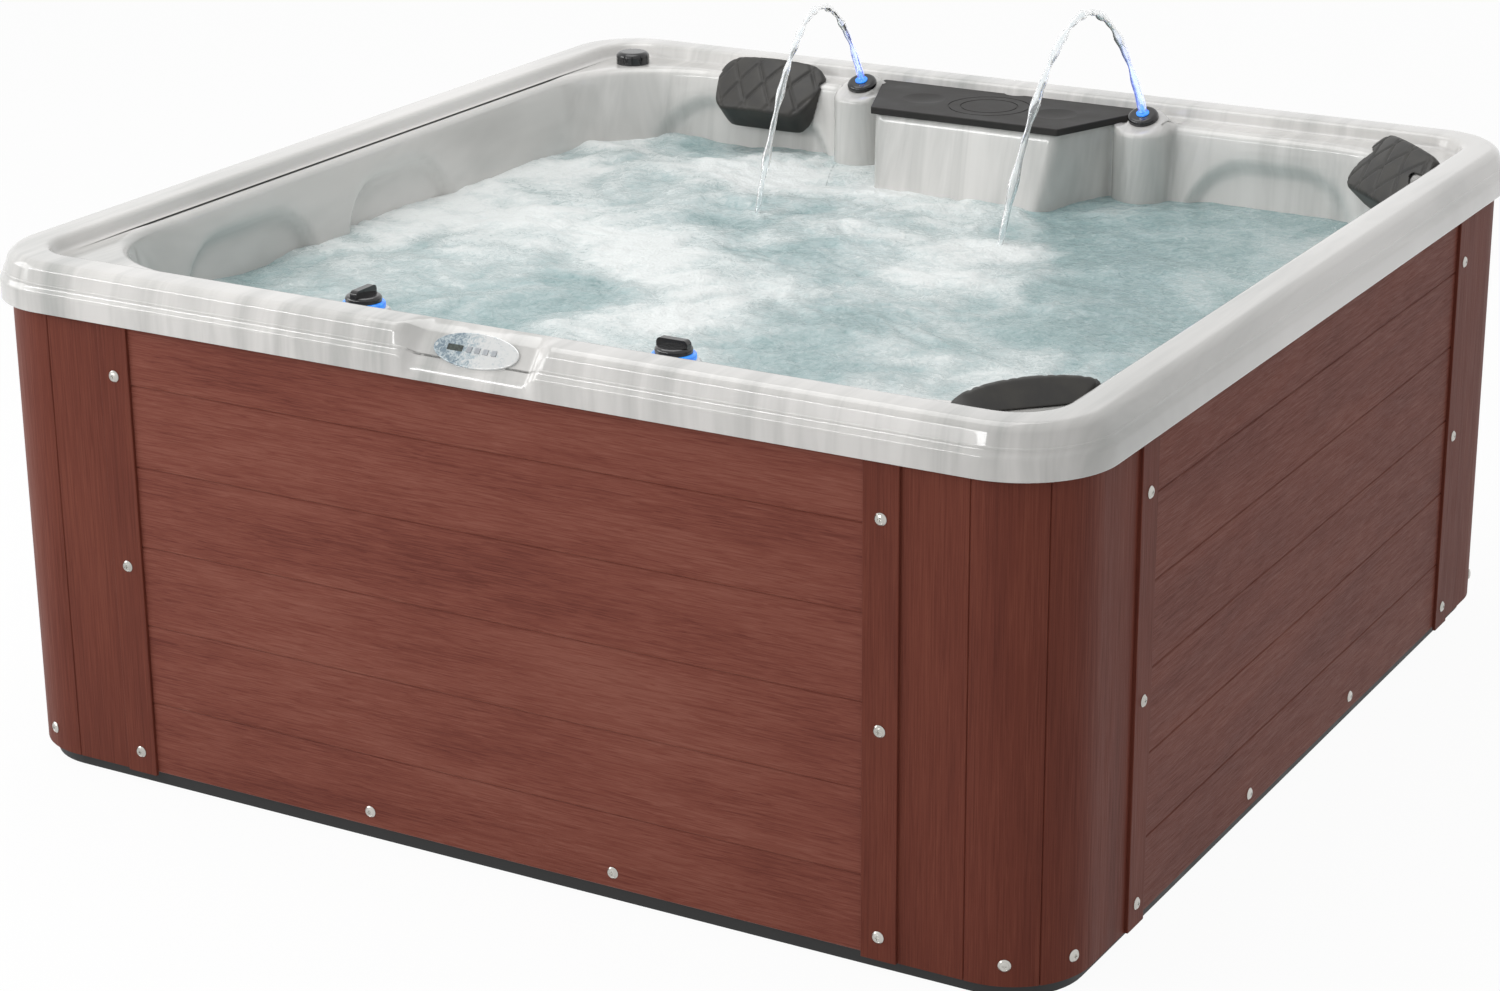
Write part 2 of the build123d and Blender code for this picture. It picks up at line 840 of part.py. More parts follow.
def base_pan():
    body = slab(square(pan_half, pan_corner), 0, pan_height)
    return body - slab(square(pan_half - pan_wall, pan_corner - pan_wall), pan_floor, pan_height + 1)


# Control panel
def button_places():
    return [button_first + button_pitch * index for index in range(len(button_names))]


def control_panel():
    plane = pod_plane()
    body = extrude(plane * Ellipse(panel_width / 2, panel_height / 2), amount=panel_raise)
    body = fillet([top_edge(body, plane)], panel_edge_round)
    body = body + plane * Pos(0, 0, -panel_body_depth / 2) * Box(
        panel_body_width, panel_body_height, panel_body_depth
    )
    well = button_size + 2 * button_gap
    depth = button_depth + button_travel
    for x in button_places():
        body = body - plane * Pos(x, 0, panel_raise + button_proud - depth / 2) * Box(well, well, depth)
    return body - display_window()


def control_button(x):
    top = panel_raise + button_proud
    outline = RectangleRounded(button_size, button_size, button_round)
    base = pod_plane() * Pos(x, 0, top - button_depth + lift_gap)
    return extrude(base * outline, amount=button_depth - lift_gap)


def display_window():
    depth = panel_raise - window_thickness / 2
    return pod_plane() * Pos(window_centre, 0, depth) * Box(window_width, window_height, window_thickness)


def circuit_board():
    depth = -panel_body_depth - circuit_thickness / 2
    width = panel_body_width - 2 * circuit_margin
    height = panel_body_height - 2 * circuit_margin
    return pod_plane() * Pos(0, 0, depth) * Box(width, height, circuit_thickness)


# Deck fittings
def diverter_handle(sign, turn):
    """Round cap with a raised fin; its stem turns in the valve below."""
    base = deck_level + diverter_ring_height + lift_gap
    cap_top = base + diverter_handle_height
    cap = rod(diverter_handle_radius, base, cap_top)
    cap = fillet([cap.edges().sort_by(Axis.Z)[-1]], diverter_handle_round)
    half = diverter_handle_radius - fin_inset
    fin = block(-half, half, -fin_width / 2, fin_width / 2, base, cap_top + fin_height)
    fin = fillet(fin.edges().filter_by(Axis.Y).sort_by(Axis.Z)[-2:], fin_round)
    stem = rod(diverter_stem, deck_level - diverter_stem_length, base + 1)
    return Pos(sign * diverter_offset, diverter_y, 0) * Rot(0, 0, turn) * (cap + fin + stem)


def diverter_light_ring(sign):
    x = sign * diverter_offset
    top = deck_level + diverter_ring_height
    ring = rod(diverter_ring, deck_level, top, x, diverter_y)
    ring = fillet([ring.edges().sort_by(Axis.Z)[-1]], diverter_ring_round)
    return ring - rod(diverter_stem + running_fit, deck_level - 1, top + 1, x, diverter_y)


def diverter_valve(sign):
    x = sign * diverter_offset
    bottom = deck_level - valve_depth
    body = rod(valve_radius, bottom, deck_level, x, diverter_y)
    body = body + rod(valve_port_radius, bottom - valve_port_length, bottom, x, diverter_y)
    bore_bottom = deck_level - diverter_stem_length - lift_gap
    return body - rod(diverter_stem + running_fit, bore_bottom, deck_level + 1, x, diverter_y)


def air_knob():
    base = deck_level + lift_gap
    top = base + air_height
    cap = rod(air_radius, base, top, air_x, air_y)
    cap = fillet([cap.edges().sort_by(Axis.Z)[-1]], air_round)
    for index in range(air_ribs):
        angle = 2 * math.pi * index / air_ribs
        x = air_x + air_radius * math.cos(angle)
        y = air_y + air_radius * math.sin(angle)
        cap = cap - rod(air_rib_groove, base - 1, top + 1, x, y)
    return cap + rod(air_stem, deck_level - air_stem_length, base + 1, air_x, air_y)


def air_valve():
    bottom = deck_level - air_body_depth
    body = rod(air_body_radius, bottom, deck_level, air_x, air_y)
    body = body + rod(air_stem, bottom - air_port_length, bottom, air_x, air_y)
    bore_bottom = deck_level - air_stem_length - lift_gap
    return body - rod(air_stem + running_fit, bore_bottom, deck_level + 1, air_x, air_y)


def fountain_ring(sign):
    plane = fountain_plane(sign)
    ring = rod_on(plane, fountain_ring_radius, 0, fountain_ring_height)
    ring = fillet([top_edge(ring, plane)], fountain_ring_round)
    return ring - rod_on(plane, nozzle_radius + running_fit, -1, fountain_ring_height + 1)


def fountain_nozzle(sign):
    plane = fountain_plane(sign)
    top = fountain_ring_height + nozzle_proud
    body = rod_on(plane, nozzle_radius, -nozzle_length, top)
    return body - rod_on(plane, nozzle_orifice, -nozzle_length - 1, top + 1)


def fountain_body(sign):
    plane = fountain_plane(sign)
    body = rod_on(plane, fountain_body_radius, -fountain_body_depth, 0)
    return body - rod_on(plane, nozzle_radius + running_fit, -nozzle_length - lift_gap, 1)


# Filter
def filter_lid():
    """Flat tapered cover with a finger notch, two dished grips and a locating spigot."""
    front = housing_front_top - lid_overlap
    half = housing_half_top + lid_overlap
    back_half = half + (lid_back - front) * housing_splay
    corners = [(-half, front), (half, front), (back_half, lid_back), (-back_half, lid_back)]
    lid = slab(Polygon(*corners, align=None), lid_base, lid_top)
    lid = fillet(lid.edges().filter_by(Axis.Z), lid_corner)
    lid = fillet(lid.edges().filter_by_position(Axis.Z, lid_top - 0.1, lid_top + 0.1), lid_edge_round)
    notch_y = lid_back + lid_notch_radius - lid_notch_depth
    lid = lid - rod(lid_notch_radius, lid_base - 1, lid_top + 1, 0, notch_y)
    middle = (front + lid_back) / 2
    groove_floor = lid_top - ring_groove_depth
    for radius in lid_ring_radii:
        lid = lid - tube(radius, radius - ring_groove_width, groove_floor, lid_top + 1, 0, middle)
    dish = (lid_dimple_radius**2 + lid_dimple_depth**2) / (2 * lid_dimple_depth)
    for sign in (-1, 1):
        lid = lid - Pos(sign * lid_dimple_offset, middle, lid_top + dish - lid_dimple_depth) * Sphere(dish)
    inset = shell_wall + lid_gap
    bottom = deck_level - lid_spigot
    spigot = housing_block(bottom, lid_base + 1, inset)
    spigot = spigot - housing_block(bottom - 1, lid_base + 2, inset + lid_spigot_wall)
    mouth_front = housing_front_top + inset
    return lid + (spigot & block(-far, far, mouth_front, far, bottom, lid_base + 1))


def filter_mount():
    top = pocket_floor + mount_plate_thickness
    back = cartridge_centre_y + mount_plate_reach
    front = cartridge_centre_y - mount_plate_reach
    plate = block(-mount_plate_half, mount_plate_half, front, back, pocket_floor, top)
    bore = filter_thread_radius - filter_thread_wall
    for sign in (-1, 1):
        x = sign * cartridge_offset
        plate = plate + rod(filter_thread_radius, top - 1, top + filter_thread_length, x, cartridge_centre_y)
        plate = plate - rod(bore, pocket_floor - 1, top + filter_thread_length + 1, x, cartridge_centre_y)
    return plate


def filter_cartridge(sign):
    """A pleated ring between two end caps; the lower cap turns on the mount's thread."""
    x = sign * cartridge_offset
    y = cartridge_centre_y
    bottom = pocket_floor + mount_plate_thickness + cartridge_gap
    top = bottom + cartridge_length
    points = []
    for index in range(2 * cartridge_pleats):
        angle = math.pi * index / cartridge_pleats
        radius = cartridge_radius - cap_overhang - pleat_depth * (index % 2)
        points.append((radius * math.cos(angle), radius * math.sin(angle)))
    cartridge = Pos(x, y, 0) * slab(Polygon(*points, align=None), bottom, top)
    cartridge = cartridge + rod(cartridge_radius, bottom, bottom + cap_thickness, x, y)
    cartridge = cartridge + rod(cartridge_radius, top - cap_thickness, top, x, y)
    bore = filter_thread_radius + running_fit
    cartridge = cartridge - rod(bore, bottom - 1, top - cap_thickness, x, y)
    grip = Cylinder(grip_radius, grip_thickness) - Cylinder(grip_radius - grip_thickness, grip_thickness + 1)
    grip = Pos(x, y, top) * Rot(90, 0, 0) * grip
    return cartridge + (grip & rod(cartridge_radius, top - 1, top + grip_radius + 1, x, y))


def skimmer_grille():
    plane = grille_plane()
    width = grille_width + 2 * grille_border
    height = grille_height + 2 * grille_border
    plate = plane * Pos(0, 0, grille_thickness / 2) * Box(width, height, grille_thickness)
    pitch = grille_width / grille_bars
    for index in range(grille_bars):
        x = -grille_width / 2 + pitch * (index + 0.5)
        slot = Box(pitch * (1 - grille_bar_share), grille_height - grille_border, 3 * grille_thickness)
        plate = plate - plane * Pos(x, 0, 0) * slot
    return plate


# Pillows
def pillow_plane(x, y, out_x, out_y):
    """z points out of the pillow's face; out is the horizontal way to the tub's edge."""
    tilt = math.radians(pillow_tilt)
    normal = (-out_x * math.cos(tilt), -out_y * math.cos(tilt), math.sin(tilt))
    return Plane(origin=(x, y, pillow_level), x_dir=(out_y, -out_x, 0), z_dir=normal)


diagonal = math.sqrt(0.5)
corner_reach = (well_corner - corner_pillow_inset) * diagonal
corner_x = well_half_width - well_corner + corner_reach
back_corner_y = well_back - well_corner + corner_reach
front_corner_y = well_front + well_corner - corner_reach
pillow_planes = {
    "back_left": pillow_plane(back_pillow_x, well_back - back_pillow_inset, 0, 1),
    "back_right": pillow_plane(corner_x, back_corner_y, diagonal, diagonal),
    "front_right": pillow_plane(corner_x, front_corner_y, diagonal, -diagonal),
}


def pillow_outline(grow):
    half_top = pillow_top_width / 2 + grow
    half_bottom = pillow_bottom_width / 2 + grow
    half = pillow_height / 2 + grow
    corners = [(-half_bottom, -half), (half_bottom, -half), (half_top, half), (-half_top, half)]
    sketch = Polygon(*corners, align=None)
    return fillet(sketch.vertices(), pillow_corner + grow)


def crowned(outline, top):
    """A straight-sided block with this outline under a shallow dome."""
    dome = Pos(0, 0, top - pillow_crown) * Sphere(pillow_crown)
    return slab(outline, -pillow_back, pillow_thickness + 1) & dome


def pillow_free_space():
    """Where a pillow may lie: in the mouth of the well and above the deck."""
    mouth = loft(
        [well_sketch(-pillow_gap, pillow_level - pillow_height), well_sketch(-pillow_gap, rim_top + 50)],
        ruled=True,
    )
    half = deck_half - pillow_gap - 1
    return mouth + slab(square(half, deck_corner), deck_level + pillow_gap, rim_top + 100)


def pillow_pegs(plane, radius, length):
    inner = pillow_back / 2
    pegs = []
    for side in (-1, 1):
        pegs.append(rod_on(plane * Pos(side * pillow_peg_offset, 0, 0), radius, -length, inner))
    return pegs


def pillow(plane):
    """Crowned pad with crossed channels and two moulded pegs; it fits the tub's edge behind."""
    pad = crowned(pillow_outline(0), pillow_thickness)
    dome_rim = pad.edges().filter_by(lambda edge: edge.center().Z > 0 and abs(edge.tangent_at(0.5).Z) < 0.8)
    pad = fillet(dome_rim, pillow_edge)
    inner = pillow_outline(-pillow_border)
    channels = crowned(inner, pillow_thickness + 1) - crowned(inner, pillow_thickness - pillow_groove_depth)
    strips = []
    for lean in (-1, 1):
        for index in range(-2, 3):
            strip = Rot(0, 0, lean * pillow_groove_angle) * Box(
                2 * pillow_height, pillow_groove_width, 4 * pillow_thickness
            )
            strips.append(Pos(index * pillow_groove_pitch, 0, 0) * strip)
    pad = pad - (joined(strips) & channels)
    pad = (plane * pad) & pillow_free_space()
    for peg in pillow_pegs(plane, pillow_peg_radius, pillow_peg_length):
        pad = pad + peg
    return pad


# Jets
def large_jet_body_piece(seat):
    body = rod_on(seat, large_jet_body, -jet_body_depth, 0) + rod_on(seat, large_jet, 0, jet_flange)
    return body - rod_on(seat, large_jet_bore, -jet_spigot - lift_gap, jet_flange + 1)


def small_jet_body_piece(seat):
    body = rod_on(seat, small_jet_body, -jet_body_depth, 0)
    return body - rod_on(seat, small_jet_bore, -small_jet_depth, 1)


def jet_face(seat):
    """Turning insert of a large jet, with one outlet off its centre."""
    bottom = jet_flange + lift_gap
    top = bottom + jet_face_thickness
    face = rod_on(seat, large_jet_face, bottom, top)
    face = face + rod_on(seat, large_jet_bore - running_fit, -jet_spigot, top)
    face = face - rod_on(seat * Pos(jet_eye_offset, 0, 0), jet_eye_radius, -jet_spigot - 1, top + 1)
    return face - rod_on(seat * Pos(-jet_eye_offset, 0, 0), jet_dish_radius, top - jet_dish_depth, top + 1)


def small_jet_nozzle(seat):
    nozzle = rod_on(seat, small_jet, 0, jet_flange)
    nozzle = nozzle + rod_on(seat, small_jet_bore, -small_jet_depth, jet_flange)
    return nozzle - rod_on(seat, small_jet_eye, -small_jet_depth - 1, jet_flange + 1)


def suction_cover(sign):
    plane = suction_plane(sign)
    cover = rod_on(plane, suction_radius, 0, suction_dome)
    cover = fillet([top_edge(cover, plane)], suction_dome * 0.6)
    for index in range(suction_holes):
        spot = plane * Rot(0, 0, 360 * index / suction_holes) * Pos(suction_hole_circle, 0, 0)
        cover = cover - rod_on(spot, suction_hole, -1, suction_dome + 1)
    return cover


def light_lens():
    lens = rod_on(light_plane, light_radius, 0, lens_height)
    return fillet([top_edge(lens, light_plane)], lens_round)


def light_housing():
    body = rod_on(light_plane, light_body, -light_depth, 0)
    return body - rod_on(light_plane, light_body - light_wall, -light_depth + light_wall, 1)


# Pump, on the line where the two suction pipes come out
suction_run = (pump_y - suction_plane(1).origin.Y) / math.cos(math.radians(footwell_lean))
pump_level = suction_level + suction_run * math.sin(math.radians(footwell_lean))
pump_line = Plane(origin=(0, pump_y, pump_level), x_dir=(0, 1, 0), z_dir=(1, 0, 0))
volute_left = volute_x - volute_width / 2
volute_right = volute_x + volute_width / 2
volute_top = pump_level + volute_radius + volute_neck
motor_left = volute_left - motor_length
pipe_bore = pipe_radius - pipe_wall


def pump_rod(radius, x0, x1):
    return rod_on(pump_line, radius, x0, x1)


def pump_housing():
    body = pump_rod(volute_radius, volute_left, volute_right)
    body = body + pump_rod(port_radius, volute_right, volute_right + port_length)
    body = body + rod(port_radius, pump_level, volute_top, volute_x, pump_y)
    chamber_radius = volute_radius - 2 * volute_wall
    body = body - pump_rod(chamber_radius, volute_left + volute_wall, volute_right - volute_wall)
    body = body - pump_rod(pipe_bore, volute_x, volute_right + port_length + 1)
    body = body - rod(pipe_bore, pump_level, volute_top + 1, volute_x, pump_y)
    return body - pump_rod(shaft_radius + running_fit, volute_left - 1, volute_x)


def pump_motor():
    """Finned motor casing on a foot that stands on the base."""
    body = pump_rod(motor_radius, motor_left, volute_left)
    for index in range(motor_fins):
        x = motor_left + motor_foot_inset + index * motor_fin_pitch
        groove = pump_rod(motor_radius + 1, x, x + motor_fin_gap)
        groove = groove - pump_rod(motor_radius - motor_fin_depth, x - 1, x + motor_fin_gap + 1)
        body = body - groove
    left = motor_left + motor_foot_inset
    right = volute_left - motor_foot_inset
    front = pump_y - motor_foot_half
    foot = block(left, right, front, pump_y + motor_foot_half, pan_floor, pump_level)
    body = body + foot
    rotor_room = rotor_radius + rotor_gap
    body = body - pump_rod(rotor_room, motor_left + motor_end_wall, volute_left - motor_end_wall)
    return body - pump_rod(shaft_radius + running_fit, motor_left + shaft_end_cover, volute_left + 1)


def pump_impeller():
    """Rotor, shaft and vaned wheel, which turn together."""
    plate_left = volute_x - impeller_width / 2
    shaft = pump_rod(shaft_radius, motor_left + shaft_end_cover + 1, volute_x)
    rotor_inset = motor_end_wall + rotor_gap
    rotor = pump_rod(rotor_radius, motor_left + rotor_inset, volute_left - rotor_inset)
    plate = pump_rod(impeller_radius, plate_left, plate_left + impeller_plate)
    vane_width = impeller_width - impeller_plate
    vane_x = plate_left + impeller_plate + vane_width / 2
    vane_reach = impeller_radius - 2 * vane_thickness
    wheel = shaft + rotor + plate
    for index in range(impeller_vanes):
        turn = Pos(vane_x, pump_y, pump_level) * Rot(360 / impeller_vanes * index, 0, 0)
        wheel = wheel + turn * Pos(0, 0, vane_reach / 2 + vane_thickness) * Box(
            vane_width, vane_thickness, vane_reach
        )
    return wheel


# Pipes
def suction_pipe():
    """Two fittings in the footwell wall and the pipe that joins them to the pump."""
    start = volute_right + port_length
    end = suction_spacing / 2 + pipe_radius
    outside = pump_rod(pipe_radius, start, end)
    inside = pump_rod(pipe_bore, start - 1, end - pipe_wall)
    for sign in (-1, 1):
        plane = suction_plane(sign)
        outside = outside + rod_on(plane, pipe_radius, suction_run, 0)
        outside = outside + rod_on(plane, suction_body, -suction_depth, 0)
        inside = inside + rod_on(plane, pipe_bore, suction_run, 1)
    return outside - inside


def hollow_pipe(points, bends, radius):
    return pipe(points, bends, radius) - pipe(points, bends, radius - pipe_wall)


def pressure_pipe():
    points = [
        (volute_x, pump_y, volute_top),
        (volute_x, pump_y, pressure_level),
        (pressure_drop_x, heater_y, pressure_level),
        (pressure_drop_x, heater_y, heater_level),
        (heater_left, heater_y, heater_level),
    ]
    return hollow_pipe(points, pressure_bend, pipe_radius)


def supply_pipe():
    """From the heater round the back of the well, with a riser behind every jet."""
    side_x = well_half_width + supply_clearance
    back_y = well_back + supply_clearance
    points = [
        (heater_left + heater_length, heater_y, heater_level),
        (supply_start_x, heater_y, heater_level),
        (side_x, supply_corner_y, supply_level),
        (side_x, back_y, supply_level),
        (-side_x, back_y, supply_level),
        (-side_x, supply_end_y, supply_level),
    ]
    bends = [supply_bend / 2, supply_bend / 2, supply_bend, supply_bend]
    body = hollow_pipe(points, bends, supply_radius)
    core = pipe_core(supply_radius - pipe_wall, side_x, back_y)
    risers = [(0, jet_level), (-jet_spread, jet_level + jet_rise), (jet_spread, jet_level + jet_rise)]
    for side, place, width in seat_backs:
        for shift, top in risers:
            x = -side_x if side == "left" else place + shift
            y = place + shift if side == "left" else back_y
            body = body + (rod(riser_radius, supply_level, top, x, y) - core)
            body = body - rod(riser_radius - riser_wall, supply_level, top, x, y)
        seat = jet_plane(side, place)
        body = body - rod_on(seat, large_jet_body, -jet_body_depth, 0)
        for small in small_jet_planes(seat):
            body = body - rod_on(small, small_jet_body, -jet_body_depth, 0)
    return body


def pipe_core(radius, side_x, back_y):
    """The bore of the supply pipe along the left and back sides, kept open under the risers."""
    left = Plane(origin=(-side_x, 0, supply_level), x_dir=(1, 0, 0), z_dir=(0, 1, 0))
    back = Plane(origin=(0, back_y, supply_level), x_dir=(0, 1, 0), z_dir=(1, 0, 0))
    return rod_on(left, radius, supply_end_y, back_y) + rod_on(back, radius, -side_x, side_x)


# Heater and control box
heater_right = heater_left + heater_length
heater_line = Plane(origin=(0, heater_y, heater_level), x_dir=(0, 1, 0), z_dir=(1, 0, 0))
box_back = box_front + box_depth
box_top = sill_top + box_height
element_ends = (heater_left + element_inset, heater_right - element_inset)


def heater_tube():
    body = rod_on(heater_line, heater_radius, heater_left, heater_right)
    flange = heater_radius + heater_flange
    body = body + rod_on(heater_line, flange, heater_left, heater_left + heater_flange_width)
    body = body + rod_on(heater_line, flange, heater_right - heater_flange_width, heater_right)
    body = body - rod_on(heater_line, heater_radius - heater_wall, heater_left - 1, heater_right + 1)
    for x in element_ends:
        entry = Plane(origin=(x, heater_y, heater_level), x_dir=(1, 0, 0), z_dir=(0, -1, 0))
        body = body - rod_on(entry, element_radius + running_fit, 0, heater_radius + 1)
    return body


def heater_element():
    """Hairpin element whose two cold ends come out of the tube into the control box."""
    left, right = element_ends
    points = [
        (left, box_back, heater_level),
        (left, heater_y, heater_level),
        (right, heater_y, heater_level),
        (right, box_back, heater_level),
    ]
    return pipe(points, element_bend, element_radius)


def control_box():
    """Steel box that stands on two joists and holds the heater in two saddles."""
    body = block(box_left, box_left + box_length, box_front, box_back, sill_top, box_top)
    body = fillet(body.edges().filter_by(Axis.Z).sort_by(Axis.Y)[:2], box_edge)
    for x in (box_left + saddle_inset, box_left + box_length - saddle_inset - saddle_width):
        bottom = heater_level - 2 * heater_radius
        body = body + block(x, x + saddle_width, box_back - 1, heater_y, bottom, heater_level)
    return body - rod_on(heater_line, heater_radius, heater_left, heater_right)


def panel_cable():
    """From the top of the control box up to the back of the circuit board."""
    plane = pod_plane()
    depth = -panel_body_depth - circuit_thickness
    x = box_left + box_length / 4
    y = (box_front + box_back) / 2
    points = [
        (x, y, box_top),
        (x, y, box_top + 150),
        (x / 2, box_front, box_top + 400),
        point_on(plane, 0, 0, depth - 80),
        point_on(plane, 0, 0, depth),
    ]
    return pipe(points, cable_bend, cable_radius)


def pump_cable():
    """From the left side of the control box to the side of the pump motor."""
    x = motor_left + motor_foot_inset + 4 * motor_fin_pitch + motor_fin_gap / 2
    y = (box_front + box_back) / 2
    points = [
        (box_left, y, heater_level / 2),
        (volute_x, y, heater_level / 2),
        (x, y, pump_level),
        (x, pump_y - motor_radius + motor_fin_depth, pump_level),
    ]
    return pipe(points, cable_bend, cable_radius)


# Drain and cable gland at the back of the cabinet
def drain_valve():
    """Straight drain pipe from the footwell's wall to a spigot behind the cabinet."""
    wall = footwell_back - (bench_level - drain_level) * footwell_slope
    flange_end = wall - drain_flange_thickness
    body = rod_on(drain_line, drain_radius, flange_end, skirt_half + drain_proud)
    outer_flange = rod_on(drain_line, drain_flange, skirt_half, skirt_half + drain_flange_thickness)
    body = body + outer_flange
    return body - rod_on(drain_line, drain_radius - drain_wall, flange_end - 1, skirt_half + drain_proud + 1)


def drain_cap():
    start = skirt_half + drain_flange_thickness + lift_gap
    end = start + drain_cap_length
    cap = rod_on(drain_line, drain_radius + drain_cap_wall, start, end)
    return cap - rod_on(drain_line, drain_radius + running_fit, start - 1, end - drain_cap_wall)


def hexagon(plane, across, z0, z1):
    return extrude(plane * Pos(0, 0, z0) * RegularPolygon(across, 6), amount=z1 - z0)


def cable_gland():
    """Threaded gland with a nut on each side of the back board, ready for a supply lead."""
    inner_end = rail_outer - 2 * gland_nut_thickness
    outer_end = skirt_half + 2 * gland_nut_thickness
    body = rod_on(gland_line, gland_radius, inner_end, outer_end)
    body = body + hexagon(gland_line, gland_nut, rail_outer - gland_nut_thickness, rail_outer)
    body = body + hexagon(gland_line, gland_nut, skirt_half, skirt_half + gland_nut_thickness)
    return body - rod_on(gland_line, gland_bore, inner_end - 1, outer_end + 1)


# All the pieces
os.makedirs("parts", exist_ok=True)
write("tub_shell", tub_shell())
write("base_pan", base_pan())

planes = screw_planes()
board_hole = screw_shank + screw_clearance
write("bottom_frame", *drilled(bottom_frame(), planes, screw_shank))
write("upper_frame", *drilled(upper_frame(), planes, screw_shank))
service_holes = [
    rod_on(drain_line, drain_radius + fit_gap, rail_outer - 1, skirt_half + 1),
    rod_on(gland_line, gland_radius + fit_gap, rail_outer - 1, skirt_half + 1),
]
for turn, side in enumerate(("front", "right", "back", "left")):
    boards = drilled([Rot(0, 0, 90 * turn) * board for board in front_boards()], planes, board_hole)
    if side == "back":
        boards[0] = boards[0] - service_holes[0] - service_holes[1]
    write(f"{side}_boards", *boards)
for corner, boards in four_corners(corner_boards()).items():
    write(f"corner_boards_{corner}", *drilled(boards, planes, board_hole))
strips = [Rot(0, 0, 90 * turn) * strip for turn in range(4) for strip in batten_pair()]
write("battens", *drilled(strips, planes, board_hole))
write("skirt_screws", *[plane * screw() for plane in planes])
write("screw_cups", *[plane * cup_washer() for plane in planes])

write("control_panel", control_panel())
write("display_window", display_window())
write("circuit_board", circuit_board())
for name, place in zip(button_names, button_places()):
    write(f"button_{name}", control_button(place))

write("diverter_handle_left", diverter_handle(-1, 90))
write("diverter_handle_right", diverter_handle(1, 0))
write("diverter_light_rings", *[diverter_light_ring(sign) for sign in (-1, 1)])
write("diverter_valves", *[diverter_valve(sign) for sign in (-1, 1)])
write("air_knob", air_knob())
write("air_valve", air_valve())
write("fountain_rings", *[fountain_ring(sign) for sign in (-1, 1)])
write("fountain_nozzle_left", fountain_nozzle(-1))
write("fountain_nozzle_right", fountain_nozzle(1))
write("fountain_bodies", *[fountain_body(sign) for sign in (-1, 1)])

write("filter_lid", filter_lid())
write("filter_mount", filter_mount())
write("filter_cartridge_left", filter_cartridge(-1))
write("filter_cartridge_right", filter_cartridge(1))
write("skimmer_grille", skimmer_grille())
for place, plane in pillow_planes.items():
    write(f"pillow_{place}", pillow(plane))

seats = [jet_plane(side, place) for side, place, width in seat_backs]
small_seats = [small for seat in seats for small in small_jet_planes(seat)]
bodies = [large_jet_body_piece(seat) for seat in seats] + [small_jet_body_piece(seat) for seat in small_seats]
write("jet_bodies", *bodies)
write("small_jet_nozzles", *[small_jet_nozzle(seat) for seat in small_seats])
for number, seat in enumerate(seats, start=1):
    write(f"jet_face_{number}", jet_face(seat))
write("suction_covers", *[suction_cover(sign) for sign in (-1, 1)])
write("light_lens", light_lens())
write("light_housing", light_housing())

write("pump_housing", pump_housing())
write("pump_motor", pump_motor())
write("pump_impeller", pump_impeller())
write("pipework", suction_pipe(), pressure_pipe(), supply_pipe())
write("heater_tube", heater_tube())
write("heater_element", heater_element())
write("control_box", control_box())
write("internal_cables", panel_cable(), pump_cable())
write("drain_valve", drain_valve())
write("drain_cap", drain_cap())
write("cable_gland", cable_gland())
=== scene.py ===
# %% [markdown]
# # A boarded acrylic hot tub
# The CAD model is a fixed frame: every rigid piece is already there, in metres.
# This lesson dresses it: camera, light, one material for each finish, and new
# meshes for what CAD can't hold well, the soft pillows and the moving water.

# %% Load the frame
import json
import math

import bmesh
import bpy
import numpy as np
from mathutils import Matrix, Vector


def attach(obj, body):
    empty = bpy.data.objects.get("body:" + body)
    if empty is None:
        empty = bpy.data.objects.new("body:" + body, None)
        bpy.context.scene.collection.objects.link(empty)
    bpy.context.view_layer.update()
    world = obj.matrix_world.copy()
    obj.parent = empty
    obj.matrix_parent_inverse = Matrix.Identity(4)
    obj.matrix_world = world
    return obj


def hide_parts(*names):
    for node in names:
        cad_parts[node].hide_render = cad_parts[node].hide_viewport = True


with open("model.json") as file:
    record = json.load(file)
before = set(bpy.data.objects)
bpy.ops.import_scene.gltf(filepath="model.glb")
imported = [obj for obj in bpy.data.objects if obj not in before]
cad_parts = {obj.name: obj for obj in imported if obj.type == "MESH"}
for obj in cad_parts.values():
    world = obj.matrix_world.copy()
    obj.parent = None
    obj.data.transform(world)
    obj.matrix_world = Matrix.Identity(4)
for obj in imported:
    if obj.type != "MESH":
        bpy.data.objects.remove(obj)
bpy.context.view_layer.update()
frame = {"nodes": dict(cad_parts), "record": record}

# %% [markdown]
# ## Camera
# A tub is photographed from a little above its rim. The camera is placed by the
# angles that were measured on the tub's edges, and its lens by how fast they close.

# %% Camera
camera_turn = math.radians(29.994)
camera_dip = math.radians(19.657)
camera_roll = math.radians(-0.423)
forward = Vector(
    (
        -math.sin(camera_turn) * math.cos(camera_dip),
        math.cos(camera_turn) * math.cos(camera_dip),
        -math.sin(camera_dip),
    )
)
level_right = forward.cross(Vector((0, 0, 1))).normalized()
level_up = level_right.cross(forward)
right = math.cos(camera_roll) * level_right + math.sin(camera_roll) * level_up
up = right.cross(forward)
camera = bpy.data.objects.new("camera", bpy.data.cameras.new("camera"))
camera.data.sensor_width = 36
camera.data.lens = 81.09
camera.data.clip_end = 60
camera.matrix_world = Matrix((right, up, -forward)).transposed().to_4x4()
camera.location = (2.97281, -5.30782, 2.52398)
bpy.context.scene.collection.objects.link(camera)
bpy.context.scene.camera = camera
print("camera", camera.location)

# %% [markdown]
# ## Small helpers
# Colours are written as sRGB hex and turned to the linear values that a shader
# wants. One function adds a node, and another starts a material from it.


